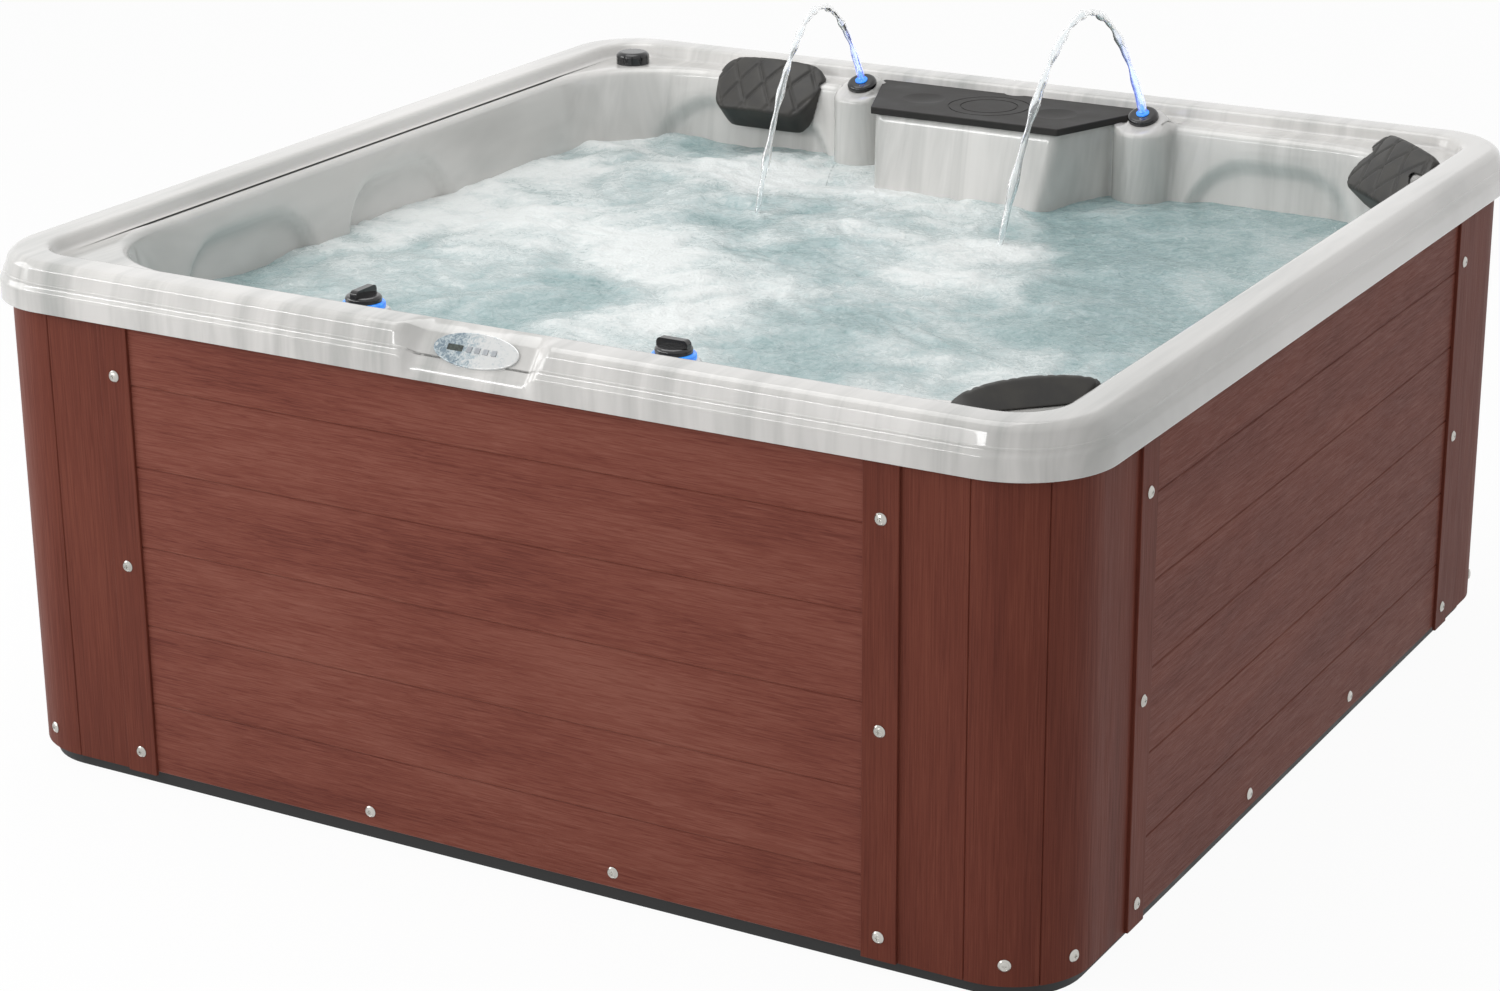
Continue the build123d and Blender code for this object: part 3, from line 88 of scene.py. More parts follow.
# %% Colour, node and material helpers
def linear(code, alpha=1.0):
    """sRGB hex to linear: below 0.04045 a straight line, above it a power of 2.4."""
    values = [int(code[i : i + 2], 16) / 255 for i in (1, 3, 5)]
    return [v / 12.92 if v <= 0.04045 else ((v + 0.055) / 1.055) ** 2.4 for v in values] + [alpha]


def add(tree, kind, settings=None, inputs=None, stops=()):
    """Adds one node: its settings, its sockets as values or links, and its ramp's stops."""
    new = tree.nodes.new(kind)
    for key, value in (settings or {}).items():
        setattr(new, key, value)
    for key, value in (inputs or {}).items():
        if isinstance(value, bpy.types.NodeSocket):
            tree.links.new(value, new.inputs[key])
        else:
            new.inputs[key].default_value = value
    for index, (place, code) in enumerate(stops):
        elements = new.color_ramp.elements
        stop = elements[index] if index < 2 else elements.new(place)
        stop.position = place
        stop.color = linear(code)
    return new


def start(name, **sockets):
    """A material with one Principled shader, whose plain values are given by socket name."""
    material = bpy.data.materials.new(name)
    material.use_nodes = True
    tree = material.node_tree
    tree.nodes.clear()
    values = {key.replace("_", " "): value for key, value in sockets.items()}
    shader = add(tree, "ShaderNodeBsdfPrincipled", inputs=values)
    add(tree, "ShaderNodeOutputMaterial", inputs={0: shader.outputs[0]})
    place = add(tree, "ShaderNodeTexCoord").outputs["Object"]
    return material, tree, shader, place


def noise(tree, place, across_mm, detail=3.0, rough=0.55, warp=0.0):
    """Noise whose cells are across_mm wide along x, y and z."""
    scale = [1000 / width for width in across_mm]
    scaled = add(tree, "ShaderNodeMapping", {"vector_type": "POINT"}, {0: place, 3: scale})
    values = {"Detail": detail, "Roughness": rough, "Distortion": warp}
    values = {"Vector": scaled.outputs[0], "Scale": 1.0, **values}
    return add(tree, "ShaderNodeTexNoise", inputs=values).outputs[0]


def bump(tree, shader, height, depth_mm, strength=1.0):
    """Lets a height pattern tilt the surface's normal; depth_mm is its full height."""
    values = {"Height": height, "Distance": depth_mm / 1000, "Strength": strength}
    shader_normal = add(tree, "ShaderNodeBump", inputs=values).outputs[0]
    tree.links.new(shader_normal, shader.inputs["Normal"])


finishes = {}
print("helpers ready")

# %% [markdown]
# ## Acrylic shell
# The shell is one sheet of cast acrylic, pulled down over a mould while hot and
# backed with resin. It is glossy and pearly, and the marbling is in the sheet,
# so its soft grey streaks all run the same way, from front to back.

# %% Cast acrylic, marbled
acrylic, tree, shader, place = start(
    "cast_acrylic_pearl",
    Roughness=0.16,
    IOR=1.49,
    Coat_Weight=0.6,
    Coat_Roughness=0.04,
    Specular_IOR_Level=0.4,
)
streaks = noise(tree, place, (70, 900, 600), 4, 0.6, 0.6)
clouds = noise(tree, place, (260, 1500, 900), 2, 0.5, 0.3)
both = add(tree, "ShaderNodeMix", {"data_type": "FLOAT"}, {0: 0.45, 2: streaks, 3: clouds}).outputs[0]
stops = [(0.32, "#a5a6a3"), (0.44, "#c3c2bf"), (0.55, "#d6d4d1"), (0.72, "#dedcd9")]
tint = add(tree, "ShaderNodeValToRGB", inputs={0: both}, stops=stops).outputs[0]
tree.links.new(tint, shader.inputs["Base Color"])
finishes["acrylic_shell"] = acrylic
print("acrylic streaks 70 mm wide")

# %% [markdown]
# ## Cladding boards
# The boards are wood-plastic, rolled with an embossed grain. The grain's lines
# lie about 3 mm apart and run along the board, so each side needs its own
# direction. Short light and dark patches come from the streaked colour batch.
# The left and right boards, and the corner boards and battens, get darker tones
# than the front and back boards: painted shade of the faces turned from the light.


# %% Embossed cladding boards
def cladding(name, fine, broad, dark, middle, light, grain_depth):
    """fine and broad are the sizes in mm of a grain line and of a colour patch."""
    material, tree, shader, place = start(name, Roughness=0.5, Specular_IOR_Level=0.14)
    patches = noise(tree, place, broad, 3, 0.6, 0.4)
    grain = noise(tree, place, fine, 4, 0.65, 0.9)
    both = add(tree, "ShaderNodeMix", {"data_type": "FLOAT"}, {0: 0.6, 2: patches, 3: grain}).outputs[0]
    stops = [(0.36, dark), (0.5, middle), (0.64, light)]
    tint = add(tree, "ShaderNodeValToRGB", inputs={0: both}, stops=stops).outputs[0]
    tree.links.new(tint, shader.inputs["Base Color"])
    gloss = add(tree, "ShaderNodeMapRange", inputs={0: grain, 1: 0.3, 2: 0.7, 3: 0.62, 4: 0.42}).outputs[0]
    tree.links.new(gloss, shader.inputs["Roughness"])
    bump(tree, shader, grain, grain_depth, 0.8)
    return material


board_x = cladding(
    "embossed_board_x", (70, 2.6, 2.6), (500, 90, 90), "#65332a", "#7a4337", "#885346", 0.5
)
# Left and right boards: the same board in darker tones, painted shade of the sides.
board_y_painted_shade = cladding(
    "embossed_board_y_painted_shade", (2.6, 70, 2.6), (90, 500, 90), "#5f2f25", "#6e3a2e", "#7a4537", 0.5
)
# Corner boards and battens: darker tones still, painted shade of the curved corners, with a faint vertical
# grain.
board_z_painted_shade = cladding(
    "plain_board_z_painted_shade", (3.0, 3.0, 160), (90, 90, 700), "#5c2d23", "#683428", "#733d2f", 0.18
)
finishes["skirt_board"] = board_z_painted_shade
print("grain lines 2.6 mm apart")

# %% [markdown]
# ## The other finishes
# Moulded ABS and PVC are dyed right through and carry only the fine texture of
# their tool. Each finish below starts from typical values for its material and
# adds the little unevenness that keeps a large flat face from looking drawn.


# %% Moulded plastics, metals and timber
def moulded(name, dark, light, rough, texture_mm, depth_mm, **extra):
    """A dyed plastic or a paint: two close tones in soft patches, and a fine tool texture."""
    material, tree, shader, place = start(name, **extra)
    patches = noise(tree, place, (60, 60, 60), 3)
    texture = noise(tree, place, (texture_mm,) * 3, 2)
    stops = [(0.35, dark), (0.65, light)]
    tint = add(tree, "ShaderNodeValToRGB", inputs={0: patches}, stops=stops).outputs[0]
    tree.links.new(tint, shader.inputs["Base Color"])
    low, high = rough
    levels = {0: patches, 1: 0.3, 2: 0.7, 3: low, 4: high}
    gloss = add(tree, "ShaderNodeMapRange", inputs=levels).outputs[0]
    tree.links.new(gloss, shader.inputs["Roughness"])
    bump(tree, shader, texture, depth_mm, 0.6)
    return material


# For each slot of the record: name, dark and light tone, roughness, texture and its depth in mm.
coated = {"Coat_Weight": 0.3}
dull = {"Specular_IOR_Level": 0.22}
silvered = {"Coat_Weight": 0.6}
metal = {"Metallic": 1.0}
recipes = {
    "black_abs_pan": ("vacuum_formed_abs", "#101010", "#1b1b1b", (0.5, 0.62), 4, 0.2, {}),
    "black_fitting": ("polished_black_abs", "#0c0c0e", "#151517", (0.14, 0.24), 3, 0.03, coated),
    "charcoal_lid": ("textured_charcoal_abs", "#262524", "#302e2d", (0.5, 0.62), 1.6, 0.12, dull),
    "white_pvc": ("rigid_pvc", "#dddbd4", "#e8e6e0", (0.3, 0.42), 6, 0.05, {}),
    "grey_fitting": ("polished_grey_abs", "#7f8284", "#8f9294", (0.18, 0.3), 4, 0.03, {}),
    "panel_key": ("silvered_key", "#8b9096", "#a9adb1", (0.2, 0.32), 0.8, 0.05, silvered),
    "black_pump_plastic": ("glass_filled_nylon", "#1c1d1f", "#27282a", (0.5, 0.62), 1.2, 0.1, {}),
    "motor_enamel": ("motor_enamel", "#55595e", "#62666b", (0.34, 0.46), 2.5, 0.08, {}),
    "grey_enamel": ("powder_coat", "#93969a", "#a1a4a6", (0.38, 0.5), 1.0, 0.06, {}),
    "cable_rubber": ("rubber_sheath", "#151515", "#202020", (0.55, 0.68), 1.0, 0.05, {}),
    "circuit_board": ("glass_epoxy_laminate", "#174f30", "#1f5f3b", (0.3, 0.4), 0.8, 0.03, {}),
    "filter_media": ("spun_polyester", "#e2e1dc", "#efeeea", (0.8, 0.9), 1.2, 0.25, {}),
    "stainless_screw": ("stainless_steel", "#b3b1ab", "#c8c6c1", (0.22, 0.34), 0.6, 0.02, metal),
    "heater_steel": ("brushed_stainless", "#adaca8", "#bdbcb8", (0.28, 0.4), 0.5, 0.02, metal),
}
for slot_name, (*recipe, extra) in recipes.items():
    finishes[slot_name] = moulded(*recipe, **extra)
print(len(finishes), "finishes so far")

# %% Softwood, lit rings, panel and glass
wood, tree, shader, place = start("planed_softwood", Roughness=0.6)
rings = noise(tree, place, (9, 9, 9), 3, 0.6, 2.5)
stops = [(0.35, "#a98a5c"), (0.6, "#c5a878")]
tint = add(tree, "ShaderNodeValToRGB", inputs={0: rings}, stops=stops).outputs[0]
tree.links.new(tint, shader.inputs["Base Color"])
bump(tree, shader, rings, 0.3, 0.5)
finishes["softwood_frame"] = wood

# Clear polycarbonate over a blue lamp: it glows, in two blues mixed by a fine noise.
lit, tree, shader, place = start("lit_polycarbonate", Roughness=0.15, Emission_Strength=0.7, IOR=1.58)
glow = noise(tree, place, (7, 7, 7), 2)
stops = [(0.3, "#1763d6"), (0.7, "#35a6ff")]
tint = add(tree, "ShaderNodeValToRGB", inputs={0: glow}, stops=stops).outputs[0]
tree.links.new(tint, shader.inputs["Emission Color"])
shader.inputs["Base Color"].default_value = linear("#2f6fd0")
finishes["lit_ring"] = lit

# A domed polyurethane label over metallised film: silver with pale blue clouds.
label, tree, shader, place = start(
    "domed_label", Roughness=0.25, Metallic=0.35, Coat_Weight=1.0, Coat_Roughness=0.03
)
flecks = noise(tree, place, (7, 7, 7), 3, 0.6, 1.2)
along = add(tree, "ShaderNodeSeparateXYZ", inputs={0: place}).outputs[0]
brighten = {0: along, 1: -0.035, 2: 0.015, 3: -0.08, 4: 0.24}
clearer = add(tree, "ShaderNodeMapRange", inputs=brighten).outputs[0]
shade = add(tree, "ShaderNodeMath", {"operation": "ADD"}, {0: flecks, 1: clearer}).outputs[0]
stops = [(0.34, "#71838f"), (0.5, "#a9b6bb"), (0.7, "#d4d5d4")]
tint = add(tree, "ShaderNodeValToRGB", inputs={0: shade}, stops=stops).outputs[0]
tree.links.new(tint, shader.inputs["Base Color"])
finishes["panel_face"] = label

# Display: dark green-grey glass.
display, tree, shader, place = start("display_glass", Roughness=0.08, IOR=1.5, Coat_Weight=0.6)
cells = noise(tree, place, (5, 5, 5), 1)
stops = [(0.4, "#232a26"), (0.6, "#39443c")]
tint = add(tree, "ShaderNodeValToRGB", inputs={0: cells}, stops=stops).outputs[0]
tree.links.new(tint, shader.inputs["Base Color"])
finishes["display_window"] = display

# Lamp lens: pressed prismatic polycarbonate.
lens, tree, shader, place = start("prismatic_lens", Roughness=0.12, IOR=1.58, Transmission_Weight=0.6)
prisms = add(tree, "ShaderNodeTexVoronoi", inputs={"Vector": place, "Scale": 120.0}).outputs[0]
shader.inputs["Base Color"].default_value = linear("#dfe8ea")
bump(tree, shader, prisms, 1.0, 0.6)
finishes["lamp_lens"] = lens
print("finishes", sorted(finishes))

# %% [markdown]
# ## Skinned foam
# Head pillows are moulded from soft foam with a closed skin: near black, with a
# fine leather grain and a dull sheen where the light grazes it.

# %% Skinned foam
foam, tree, shader, place = start("skinned_foam", Roughness=0.48, Specular_IOR_Level=0.45)
pores = add(tree, "ShaderNodeTexVoronoi", inputs={"Vector": place, "Scale": 1000 / 2.2}).outputs[0]
patches = noise(tree, place, (40, 40, 40), 3)
stops = [(0.3, "#262524"), (0.7, "#35332f")]
tint = add(tree, "ShaderNodeValToRGB", inputs={0: patches}, stops=stops).outputs[0]
tree.links.new(tint, shader.inputs["Base Color"])
bump(tree, shader, pores, 0.15, 0.5)
finishes["pillow_foam"] = foam
print("foam grain 2.2 mm")

# %% Give each CAD node its finish
slots = {entry["node"]: entry["material_slot"] for entry in frame["record"]["subparts"]}
grained = {"front_boards": board_x, "back_boards": board_x, "left_boards": board_y_painted_shade, "right_boards": board_y_painted_shade}
for name, node in frame["nodes"].items():
    node.data.materials.clear()
    node.data.materials.append(grained.get(name, finishes[slots[name]]))
print("dressed", len(frame["nodes"]), "CAD nodes")

# %% [markdown]
# ## Meshes from formulas
# New pieces are grids of points worked out as whole arrays. A closed grid wraps
# round in one direction, and its faces follow from the grid alone.


# %% Grid and noise helpers
def grid_mesh(name, points, wrap=False):
    """A mesh from an array rows x columns x 3: each face joins four neighbours."""
    rows, columns = points.shape[:2]
    index = np.arange(rows * columns).reshape(rows, columns)
    after = np.roll(index, -1, axis=1)
    last = columns if wrap else columns - 1
    corners = (index[:-1, :last], after[:-1, :last], after[1:, :last], index[1:, :last])
    faces = np.stack(corners, axis=-1).reshape(-1, 4)
    mesh = bpy.data.meshes.new(name)
    mesh.from_pydata(points.reshape(-1, 3).tolist(), [], faces.tolist())
    mesh.shade_smooth()
    piece = bpy.data.objects.new(name, mesh)
    bpy.context.scene.collection.objects.link(piece)
    return piece


def soft_noise(x, y, size, seed):
    """Random heights from -1 to 1 on a lattice of this size, joined by smooth steps."""
    lattice = np.random.default_rng(seed).uniform(-1, 1, (256, 256))
    u, v = x / size + 100.3, y / size + 100.7
    column, row = np.floor(u).astype(int), np.floor(v).astype(int)
    a, b = u - column, v - row
    a, b = a * a * (3 - 2 * a), b * b * (3 - 2 * b)
    left, right = column % 256, (column + 1) % 256
    below, above = row % 256, (row + 1) % 256
    lower = lattice[below, left] * (1 - a) + lattice[below, right] * a
    upper = lattice[above, left] * (1 - a) + lattice[above, right] * a
    return lower * (1 - b) + upper * b


print("noise sample", soft_noise(np.array([0.1]), np.array([0.2]), 0.05, 1))

# %% [markdown]
# ## The shell as one sculpted sheet
# The CAD shell holds the true sizes, but its edges are crisp, and a sheet drawn
# over a mould has none. The visible sheet is worked out again as rings: each ring
# runs once round the tub, and a profile carries the rings from the lip's edge up
# over the rim, across the deck and down into the well. Seat backs, fountain
# mounds and the filter housing are soft steps in the rings, blended by a smooth
# minimum, so every corner flows as vacuum-formed acrylic does.


# %% Smooth steps and blends
def smooth_min(a, b, blend):
    """The lesser of a and b, rounded where they cross over a width of blend."""
    share = np.clip(0.5 + 0.5 * (b - a) / blend, 0, 1)
    return b * (1 - share) + a * share - blend * share * (1 - share)


def smooth_max(a, b, blend):
    """The greater of a and b, rounded in the same way."""
    return -smooth_min(-a, -b, blend)


def step(value, low, high):
    """0 below low, 1 above high, and an even S between them."""
    t = np.clip((value - low) / (high - low), 0, 1)
    return t * t * (3 - 2 * t)


def rounded_line(corners, radii, steps=5):
    """A profile line with each inner corner replaced by a curve between its two sides."""
    corners = np.array(corners, float)
    line = [corners[0]]
    for before, corner, after, radius in zip(corners, corners[1:], corners[2:], radii):
        start_way = (before - corner) / np.linalg.norm(before - corner)
        end_way = (after - corner) / np.linalg.norm(after - corner)
        t = np.linspace(0, 1, steps)[:, None]
        first, last = corner + radius * start_way, corner + radius * end_way
        line += list((1 - t) ** 2 * first + 2 * t * (1 - t) * corner + t**2 * last)
    return np.array(line + [corners[-1]])


# %% Outlines of the well
deck = 0.924
wall_slope = math.tan(math.radians(8.5))
well_half, well_front, well_back, well_round = 0.955, -0.908, 0.905, 0.25
bench, foot_floor = 0.390, 0.083
side_half = well_half - well_round
seats = {
    "left": [(-0.415, 0.210), (0.070, 0.190)],
    "back": [(-0.610, 0.220), (0.600, 0.190)],
}


def seat_depth(side, along, z):
    """Depth of the arched seat backs at a place along a wall and a height."""
    depth = np.zeros(np.broadcast(along, z).shape)
    for place, half in seats[side]:
        from_side = abs(along - place) - (half - 0.14)
        from_top = z - (0.872 - 0.14)
        corner = np.hypot(np.maximum(from_side, 0), np.maximum(from_top, 0)) - 0.14
        depth = np.maximum(depth, 0.022 * step(-corner, 0.0, 0.026))
    return depth


def back_wall(x, z):
    """y of the back wall: the leaning wall, two fountain mounds and the filter housing."""
    drop = np.maximum(deck - z, 0)
    wall = well_back - drop * wall_slope + seat_depth("back", x, z)
    off = abs(abs(x) - 0.322)
    mound = 0.888 - np.sqrt(np.maximum(0.060**2 - off**2, 0)) + np.maximum(off - 0.058, 0) * 8
    front = 0.722 - 0.27 * drop
    half = 0.205 - 0.12 * drop
    housing = front + smooth_max(np.zeros_like(x + z), (abs(x) - half) / 0.396, 0.030)
    return smooth_min(smooth_min(wall, mound, 0.030), housing, 0.024)


def front_wall(x, z):
    """y of the front wall, with the two round seats of the diverter valves."""
    drop = np.maximum(deck - z, 0)
    wall = well_front + drop * wall_slope
    off = abs(abs(x) - 0.303)
    mound = -0.921 + np.sqrt(np.maximum(0.047**2 - off**2, 0)) - np.maximum(off - 0.045, 0) * 8
    return smooth_max(wall, mound, 0.024)


def spread(density, low, high, count):
    """Places between low and high that crowd together where the density is high."""
    fine = np.linspace(low, high, 4000)
    total = np.concatenate([[0], np.cumsum(density(fine[:-1]))])
    return np.interp(np.linspace(0, total[-1], count + 2)[1:-1], total, fine)


def front_density(x):
    """More columns at the panel recess and at the two diverter seats."""
    return 1 + 3.2 * (abs(x) < 0.165) + 1.6 * ((abs(x) > 0.24) & (abs(x) < 0.37))


front_x = spread(front_density, -side_half, side_half, 190)
side_y = np.linspace(-1, 1, 128)[1:-1]
corner_turn = np.linspace(0, 1, 26)


def back_places(z):
    """x along the back wall at even arc length, from right to left."""

    def arc_length(x):
        return np.hypot(1, np.gradient(back_wall(x, z), x))

    return -spread(arc_length, -side_half, side_half, 220)


print("profile helpers ready, back wall at x = 0.32:", back_wall(np.array([0.32]), 0.9))


# %% Rings
def ring(half, front, back, corner, z, wall=False):
    """One closed loop: front, right, back and left sides with quarter circles between."""
    run_x = half - corner
    near = min(0.42, run_x * 0.6)
    knots = [-side_half, -near, near, side_half]
    to = [-run_x, -near, near, run_x]
    if run_x < 0.5:
        knots, to = [-side_half, side_half], [-run_x, run_x]
    low, high = front + corner, back - corner
    middle, reach = (low + high) / 2, (high - low) / 2
    fx = front_x if wall else np.interp(front_x, knots, to)
    bx = back_places(z) if wall else np.interp(back_places(deck), knots, to)
    fy = front_wall(fx, z) if wall else np.full_like(fx, front)
    by = back_wall(bx, z) if wall else np.full_like(bx, back)
    sy = middle + reach * side_y
    left_out = seat_depth("left", sy, z) if wall else 0 * sy
    sides = [np.stack([fx, fy], -1)]
    quarter = corner_turn * math.pi / 2
    centres = [(run_x, low, -90), (run_x, high, 0), (-run_x, high, 90), (-run_x, low, 180)]
    arcs = []
    for cx, cy, base in centres:
        angle = math.radians(base) + quarter
        px, py = cx + corner * np.cos(angle), cy + corner * np.sin(angle)
        if wall and base in (0, 90):
            py = py + seat_depth("back", px, z) * np.sin(angle)
        arcs.append(np.stack([px, py], -1))
    right_side = np.stack([np.full_like(sy, half), sy], -1)
    back_side = np.stack([bx, by], -1)
    left_side = np.stack([-half - left_out[::-1], sy[::-1]], -1)
    loop = [sides[0], arcs[0], right_side, arcs[1], back_side, arcs[2], left_side, arcs[3]]
    loop = np.concatenate(loop)
    return np.concatenate([loop, np.full((len(loop), 1), z)], axis=1)


def well_ring(z):
    """The well's wall at height z."""
    inset = (deck - z) * wall_slope
    return ring(well_half - inset, well_front + inset, well_back - inset, well_round - inset, z, True)


def outward(loop):
    """Unit normals in plan that point away from the well."""
    along = np.roll(loop, -1, 0)[:, :2] - np.roll(loop, 1, 0)[:, :2]
    along = along / np.linalg.norm(along, axis=1)[:, None]
    return np.stack([along[:, 1], -along[:, 0], 0 * along[:, 0]], -1)


# %% Lip and rim
lip_line = rounded_line(
    [
        (0.037, 0.917), (0.007, 0.917), (0.007, 0.865), (0.0, 0.865), (0.0, 0.902), (0.006, 0.909),
        (0.0165, 0.939), (0.0225, 0.945), (0.030, 0.950), (0.084, 0.950), (0.092, 0.924), (0.104, 0.924),
    ],
    [0.003, 0.003, 0.003, 0.0045, 0.0035, 0.0035, 0.003, 0.004, 0.009, 0.007],
)
lip_rows = []
for inset, z in lip_line:
    corner = np.interp(inset, [0, 0.020, 0.084, 0.092, 0.104], [0.165, 0.145, 0.092, 0.084, 0.076])
    half = 1.067 - inset
    lip_rows.append(ring(half, -half, half, corner, z))
lip_points = np.stack(lip_rows)
print("lip rows", lip_points.shape)


recess_middle = np.array([0, -1.0315, 0.9185])
recess_normal = np.array([0, -0.7600, 0.6498])
recess_rise = np.array([0, 0.6498, 0.7600])
recess_half_width, recess_half_height = 0.110, 0.0454


def cut_recess(points):
    """Pushes the lip back to the slanting face of the panel recess and its sloping ends."""
    away = points - recess_middle
    proud = away @ recess_normal
    ends = (abs(points[..., 0]) - recess_half_width) * 0.769
    edges = (abs(away @ recess_rise) - recess_half_height) * 2.3
    allowed = smooth_max(smooth_max(ends, edges, 0.006), np.zeros_like(ends), 0.005)
    in_front = (points[..., 1] < -0.975) & (abs(points[..., 0]) < 0.20)
    near = in_front & (points[..., 2] > 0.8655) & (proud > -0.02)
    target = smooth_min(proud, allowed, 0.005)
    shift = np.where(near, np.minimum(target - proud, 0), 0)
    return points + shift[..., None] * recess_normal


lip_points = cut_recess(lip_points)
lip = grid_mesh("shell_lip", lip_points, wrap=True)


def strip_faces(piece, keep):
    """Keeps only the faces whose flag is set."""
    shape = bmesh.new()
    shape.from_mesh(piece.data)
    shape.faces.ensure_lookup_table()
    drop = [face for face, stays in zip(shape.faces, keep) if not stays]
    bmesh.ops.delete(shape, geom=drop, context="FACES")
    bmesh.ops.remove_doubles(shape, verts=shape.verts, dist=0.00001)
    shape.to_mesh(piece.data)
    shape.free()
    piece.data.shade_smooth()


# The keys' stems pass through the lip, so it is cut out where the panel hides it.
centres = np.array([face.center for face in lip.data.polygons]) - recess_middle
up_face, off_face = centres @ recess_rise, centres @ recess_normal
in_oval = (centres[:, 0] / 0.070) ** 2 + (up_face / 0.026) ** 2 < 1
under_panel = in_oval & (abs(off_face) < 0.006)
strip_faces(lip, ~under_panel)
print("faces cut out under the panel", int(under_panel.sum()))

# %% Deck, walls, bench and footwell
edge_round = 0.015


def edge_radius(loop):
    """The housing's edge is crisp under its lid, and the rest of the well's edge is soft."""
    on_housing = (loop[:, 1] < 0.885) & (loop[:, 1] > 0.3) & (abs(loop[:, 0]) < 0.285)
    return np.where(on_housing, 0.003, edge_round)


def raise_mounds(points, weight):
    """Lifts the deck into the two seats that lean the fountains into the well."""
    for side in (-0.322, 0.322):
        away = np.hypot(points[..., 0] - side, points[..., 1] - 0.888)
        seat = 0.938 + 0.404 * (points[..., 1] - 0.888) - deck
        points[..., 2] += weight * (seat - 0.0008) * (1 - step(away, 0.037, 0.066))


top = well_ring(deck)
rows = [lip_points[-1]]
edge = top + outward(top) * edge_radius(top)[:, None]
pocket_half, pocket_back = 0.198, 0.957
x_top = top[:, 0]
in_pocket = (abs(x_top) < 0.286) & (top[:, 1] > 0.5) & (top[:, 1] < 0.93)


def pocket_front(x, z):
    """y of the pocket's mouth: 7 mm behind the housing's front and sides."""
    drop = deck - z
    side = (abs(x) - (pocket_half - 0.12 * drop)) / 0.396
    return 0.729 - 0.27 * drop + smooth_max(np.zeros_like(x + z), side, 0.02)


mouth = np.minimum(np.maximum(pocket_front(x_top, deck), edge[:, 1] + 0.001), pocket_back)
for share in np.linspace(0, 1, 11)[1:-1]:
    between = rows[0] * (1 - share) + edge * share
    held = between.copy()
    held[:, 0] = x_top
    held[:, 1] = pocket_back + (mouth - pocket_back) * np.clip((share - 0.1) / 0.8, 0, 1)
    rows.append(np.where(in_pocket[:, None], held, between))
rows.append(edge)
for turn in np.linspace(0, math.pi / 2, 6)[1:]:
    radius = edge_radius(top)
    z = deck - edge_round * (1 - math.cos(turn))
    loop = well_ring(z)
    push = radius * (1 - math.sin(turn))
    rows.append(loop + outward(loop) * push[:, None])
deck_rows = len(rows)
for z in np.linspace(deck - edge_round, bench + 0.03, 34)[1:]:
    rows.append(well_ring(z))
bench_ring = well_ring(bench)
foot_ring = ring(0.450, -0.450, 0.420, 0.130, bench)
for turn in np.linspace(0, math.pi / 2, 5)[1:]:
    loop = well_ring(bench + 0.03)
    inner = loop * (1 - 0.03 * (1 - math.cos(turn)) * np.array([1, 1, 0]))
    inner[:, 2] = bench + 0.03 * (1 - math.sin(turn))
    rows.append(inner)
last = rows[-1].copy()
seat_middles = [(-0.665, -0.42), (-0.665, 0.085), (-0.61, 0.625)]
seat_middles += [(0.60, 0.625), (0.665, 0.04), (0.62, -0.625)]
dish_radius, dish_rise = 0.42, 0.375
for share in np.linspace(0, 1, 13)[1:]:
    loop = last * (1 - share) + foot_ring * share
    loop[:, 2] = bench
    for x0, y0 in seat_middles:
        away = (loop[:, 0] - x0) ** 2 + (loop[:, 1] - y0) ** 2
        dish = bench + dish_rise - np.sqrt(np.maximum(dish_radius**2 - away, 0))
        loop[:, 2] = np.minimum(loop[:, 2], dish)
    rows.append(loop)
foot_slope = math.tan(math.radians(5))
for z in np.linspace(bench - 0.01, foot_floor, 14):
    inset = (bench - z) * foot_slope
    rows.append(ring(0.45 - inset, -0.45 + inset, 0.42 - inset, 0.13, z))
floor_ring = rows[-1]
centre = floor_ring.mean(axis=0)
for share in (0.25, 0.5, 0.75, 1.0):
    rows.append(floor_ring * (1 - share) + centre * share)
sheet = np.stack(rows)
fade = np.zeros(len(rows))
fade[1:deck_rows] = 1
fade[deck_rows : deck_rows + 3] = (0.6, 0.3, 0.1)
raise_mounds(sheet, fade[:, None])
print("well rows", sheet.shape)


# %% Close the sheet and cut the pocket out of it
well = grid_mesh("shell_well", sheet, wrap=True)
both_in = in_pocket & np.roll(in_pocket, -1)
keep = np.ones((len(rows) - 1, len(top)), bool)
keep[1:9] = ~both_in[None]
strip_faces(well, keep.reshape(-1))

# %% The filter pocket
inside = np.flatnonzero(in_pocket)
inside = inside[np.argsort(x_top[inside])]
pocket_x = x_top[inside]
levels = np.linspace(deck, bench, 10)
pocket_rows = []
for z in levels:
    near_x = pocket_x * (pocket_half - 0.12 * (deck - z)) / pocket_half
    near_y = np.minimum(pocket_front(near_x, z), pocket_back)
    if z == deck:
        near_y = mouth[inside]
        near_x = pocket_x
    near_side = np.stack([near_x, near_y, np.full_like(near_x, z)], -1)
    far_side = np.stack([near_x[::-1], np.full_like(near_x, pocket_back), np.full_like(near_x, z)], -1)
    pocket_rows.append(np.concatenate([near_side, far_side]))
pocket = grid_mesh("shell_filter_pocket", np.stack(pocket_rows), wrap=True)
lowest = pocket_rows[-1]
count = len(pocket_x)
base = grid_mesh("shell_pocket_floor", np.stack([lowest[:count], lowest[count:][::-1]]))
for piece in (lip, well, pocket, base):
    piece.data.materials.append(acrylic)
    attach(piece, "tub")
    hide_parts("tub_shell")
    print(piece.name, len(piece.data.polygons), "faces")

# %% [markdown]
# ## Water
# With the jets on, the water is milky with air: a rolling surface, white foam
# where jets break through, and calmer teal water by the right-hand wall. It is a
# height field over the well's outline, and the foam's share is kept on each point
# as an attribute, so the shader can whiten and roughen exactly those places.

